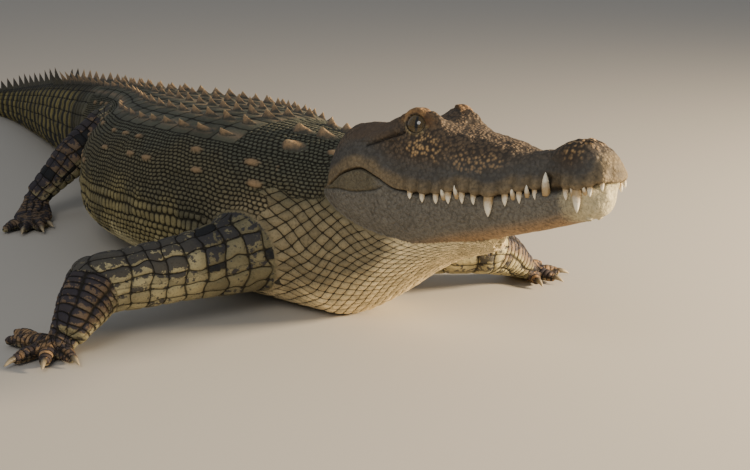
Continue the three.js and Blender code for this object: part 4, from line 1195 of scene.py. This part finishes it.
keel_material = horn_finish("keel_horn", paint(66, 64, 54), paint(150, 124, 92), paint(204, 176, 132))
fin_material = horn_finish("fin_horn", paint(70, 66, 50), paint(64, 58, 46), paint(112, 96, 70))
for name, rows, seed, material, climb, thin in (
        ("back_keels", back_rows, 1, keel_material, 1.35, 2.1),
        ("nape_keels", nape_rows, 2, keel_material, 1.2, 1.5),
        ("tail_fins_near", near_fins, 3, keel_material, 0.95, 1.3),
        ("tail_fins", fin_rows, 4, fin_material, 0.95, 1.3)):
    made = grow_keels(name, rows, seed, climb, thin)
    made.data.materials.append(material)
    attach(made, "root")

# ---- Teeth --------------------------------------------------------------------------------------
# Ivory cones that interlock outside the lips. Upper teeth point down over the lower jaw, lower ones
# stand up, and the fourth lower tooth rests in the notch behind the nose.

ROOT_DEPTH = 7  # how far each cone starts inside the jaw
TOOTH_RINGS, TOOTH_SIDES = 7, 12


def grow_teeth(name, teeth, sense):
    width_of = upper_half_width if sense < 0 else lower_half_width
    cones = []
    for side in (-1, 1):
        for where, length, thickness in teeth:
            root = head_point(where - 0.004, side * (width_of(where) - 0.3 * thickness / HEAD),
                              jaw_line(where) - sense * ROOT_DEPTH / HEAD)
            tip = head_point(where, side * (upper_half_width(where) + 0.14 * thickness / HEAD),
                             jaw_line(where) + sense * length / HEAD)
            axis = unit(tip - root)
            front = unit(head_ahead - axis * (head_ahead @ axis))
            round_way = np.cross(axis, front)
            out_way = round_way * side * sense
            t = np.linspace(0, 1, TOOTH_RINGS)[:, None, None]
            turn = full_turn(TOOTH_SIDES)[None, :, None]
            radius = thickness / 2 * (1 - t ** 2.2) ** 0.8 + 0.25
            bow = 0.1 * thickness * np.sin(math.pi * t)
            rings = (root + (tip - root) * t + bow * out_way
                     + radius * (np.cos(turn) * front + np.sin(turn) * round_way))
            cones.append((rings, tube_faces(rings), t[..., 0]))
    return joined(name, cones)


def ivory_finish():
    finish = Finish("tooth_ivory", Specular_IOR_Level=0.5)
    rise, stain, grain = finish.attribute("rise"), finish.noise(7), finish.noise(1.5)
    clean = (rise + 0.6 * (stain - 0.5)).step(0.2, 0.75)
    tint = finish.mix(clean, paint(176, 150, 108), paint(236, 228, 206))
    return finish.wear(Base_Color=tint, Roughness=0.28 + 0.2 * grain, Normal=finish.bump(grain, 0.25))


ivory = ivory_finish()
for name, teeth, sense in (("upper_teeth", UPPER_TEETH, -1), ("lower_teeth", LOWER_TEETH, 1)):
    made = grow_teeth(name, teeth, sense)
    made.data.materials.append(ivory)
    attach(made, "root")

# ---- Eyes ---------------------------------------------------------------------------------------
# Wet amber-brown balls, each with an upright slit pupil. They are seated in the sides of the skull
# and fill the openings between the heavy lids.

BALL_RINGS, BALL_SIDES = 31, 48


def eye_finish():
    finish = Finish("eye", Roughness=0.06, Coat_Weight=0.6, Coat_Roughness=0.03)
    side, height = finish.attribute("iris_out"), finish.attribute("iris_up")
    slit = (side ** 2 + (height * 0.2) ** 2) ** 0.5
    ring = (side ** 2 + height ** 2) ** 0.5
    grain = finish.noise(1.6, 4.0)
    tint = finish.mix(grain.step(0.35, 0.7), paint(56, 44, 20), paint(104, 84, 40))
    tint = finish.mix(ring.step(0.72, 0.92), tint, paint(34, 28, 16))
    tint = finish.mix(1 - slit.step(0.09, 0.16), tint, paint(6, 6, 6))
    return finish.wear(Base_Color=tint)


eye_material = eye_finish()
for side, sense in (("right", -1), ("left", 1)):
    centre, gaze, iris_side, iris_up = eye_seat(sense)
    polar = np.radians(np.linspace(0, 180, BALL_RINGS + 2)[1:-1])[:, None]
    turn = full_turn(BALL_SIDES)[None]
    ball = np.stack(np.broadcast_arrays(
        np.sin(polar) * np.cos(turn), np.sin(polar) * np.sin(turn), np.cos(polar)), -1).reshape(-1, 3)
    basis = np.stack([iris_side, iris_up, gaze])
    ball_points = centre + EYE_RADIUS * np.vstack([[[0, 0, 1]], ball, [[0, 0, -1]]]) @ basis
    index = 1 + np.arange(BALL_RINGS * BALL_SIDES).reshape(BALL_RINGS, BALL_SIDES)
    after = np.roll(index, -1, axis=1)
    faces = np.stack([index[:-1], index[1:], after[1:], after[:-1]], -1).reshape(-1, 4).tolist()
    faces += [[0, int(a), int(b)] for a, b in zip(index[0], after[0])]
    faces += [[len(ball_points) - 1, int(b), int(a)] for a, b in zip(index[-1], after[-1])]
    eye = new_mesh_object("eye_" + side + "_ball", ball_points, faces)
    local = (ball_points - centre) / EYE_RADIUS
    store(eye.data, "iris_out", "FLOAT", local @ iris_side)
    store(eye.data, "iris_up", "FLOAT", local @ iris_up)
    shade_smooth(eye.data)
    eye.data.materials.append(eye_material)
    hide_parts("eye_" + side)
    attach(eye, "root")

# ---- Claws --------------------------------------------------------------------------------------
# Blunt curved horn on the three inner toes of every foot. Each claw grows over its toe's end, dark at
# the root and paler at the tip, and bends down towards the floor.

CLAW_RINGS, CLAW_SIDES = 9, 12
CLAW_HEIGHT = 11  # of the claw's root over the floor
UPWARD = np.array([0, 0, 1])


def claw_finish():
    finish = Finish("claw_horn", Specular_IOR_Level=0.5)
    rise, grain = finish.attribute("rise"), finish.noise(3)
    tint = finish.mix((rise + 0.4 * (grain - 0.5)).step(0.1, 0.9), paint(64, 56, 44), paint(168, 152, 122))
    return finish.wear(Base_Color=tint, Roughness=0.3 + 0.25 * grain, Normal=finish.bump(grain, 0.4))


claw_material = claw_finish()
for limb, foot_name in (("fore", "hand"), ("hind", "foot")):
    for side in ("right", "left"):
        horns = []
        for _, tip, heading, size in (place for place in claw_places if place[0] == f"{limb}_{side}"):
            t = np.linspace(0, 1, CLAW_RINGS)[:, None, None]
            forward = np.array([*heading, 0])
            across = np.array([-heading[1], heading[0], 0])
            centre = (np.array([*tip, CLAW_HEIGHT]) + forward * size * (-0.35 + 1.33 * t)
                      + UPWARD * (1 + 2.2 * np.sin(math.pi * t) - (1 + 0.2 * size) * t ** 1.6))
            radius = size * 0.23 * (1 - t ** 1.7) ** 0.75 + 0.6
            turn = full_turn(CLAW_SIDES)[None, :, None]
            rings = centre + radius * (np.cos(turn) * across + np.sin(turn) * UPWARD * 1.1)
            horns.append((rings, tube_faces(rings), t[..., 0]))
        claws = joined(f"claws_{foot_name}_{side}", horns)
        claws.data.materials.append(claw_material)
        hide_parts(*[f"claw_{foot_name}_{side}_{i}" for i in (1, 2, 3)])
        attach(claws, "root")

# ---- Stage --------------------------------------------------------------------------------------
# A plain pale floor under the animal, a low warm key light ahead of it on its left, a weak fill high
# ahead on its right, a pale even sky, and the camera.

floor_mesh = bpy.data.meshes.new("floor")
FLOOR = 30  # metres from the middle to each edge
floor_corners = [(-FLOOR, -FLOOR, 0), (FLOOR, -FLOOR, 0), (FLOOR, FLOOR, 0), (-FLOOR, FLOOR, 0)]
floor_mesh.from_pydata(floor_corners, [], [(0, 1, 2, 3)])
floor = bpy.data.objects.new("floor", floor_mesh)
bpy.context.scene.collection.objects.link(floor)
floor_mesh.materials.append(Finish("pale_floor", Base_Color=(0.5, 0.47, 0.42, 1), Roughness=0.8).material)

world = bpy.data.worlds.new("studio")
world.use_nodes = True
world.node_tree.nodes["Background"].inputs["Color"].default_value = (0.84, 0.88, 0.94, 1)
world.node_tree.nodes["Background"].inputs["Strength"].default_value = 0.34
bpy.context.scene.world = world


def add_light(name, place, target, size, power, tint):
    light = bpy.data.lights.new(name, "AREA")
    light.shape = "DISK"
    light.size = size
    light.energy = power
    light.color = tint
    made = bpy.data.objects.new(name, light)
    bpy.context.scene.collection.objects.link(made)
    made.location = place
    made.rotation_euler = (Vector(target) - Vector(place)).to_track_quat("-Z", "Y").to_euler()


add_light("key", (3.3, -2.5, 1.25), (0, 0.1, 0.15), 0.7, 620, (1, 0.8, 0.54))
add_light("fill", (-2.6, -3.0, 3.2), (0, 0.2, 0.1), 2.4, 70, (1, 0.97, 0.92))

camera_data = bpy.data.cameras.new("camera")
SENSOR_WIDTH = 36
FOCAL_TO_WIDTH = 1208 / 750
camera_data.sensor_width = SENSOR_WIDTH
camera_data.lens = SENSOR_WIDTH * FOCAL_TO_WIDTH
camera = bpy.data.objects.new("camera", camera_data)
bpy.context.scene.collection.objects.link(camera)
camera.location = (-0.9271, -2.0225, 0.687)
camera.rotation_euler = (math.radians(90 - 14.756), 0, math.radians(-28.78))
bpy.context.scene.camera = camera
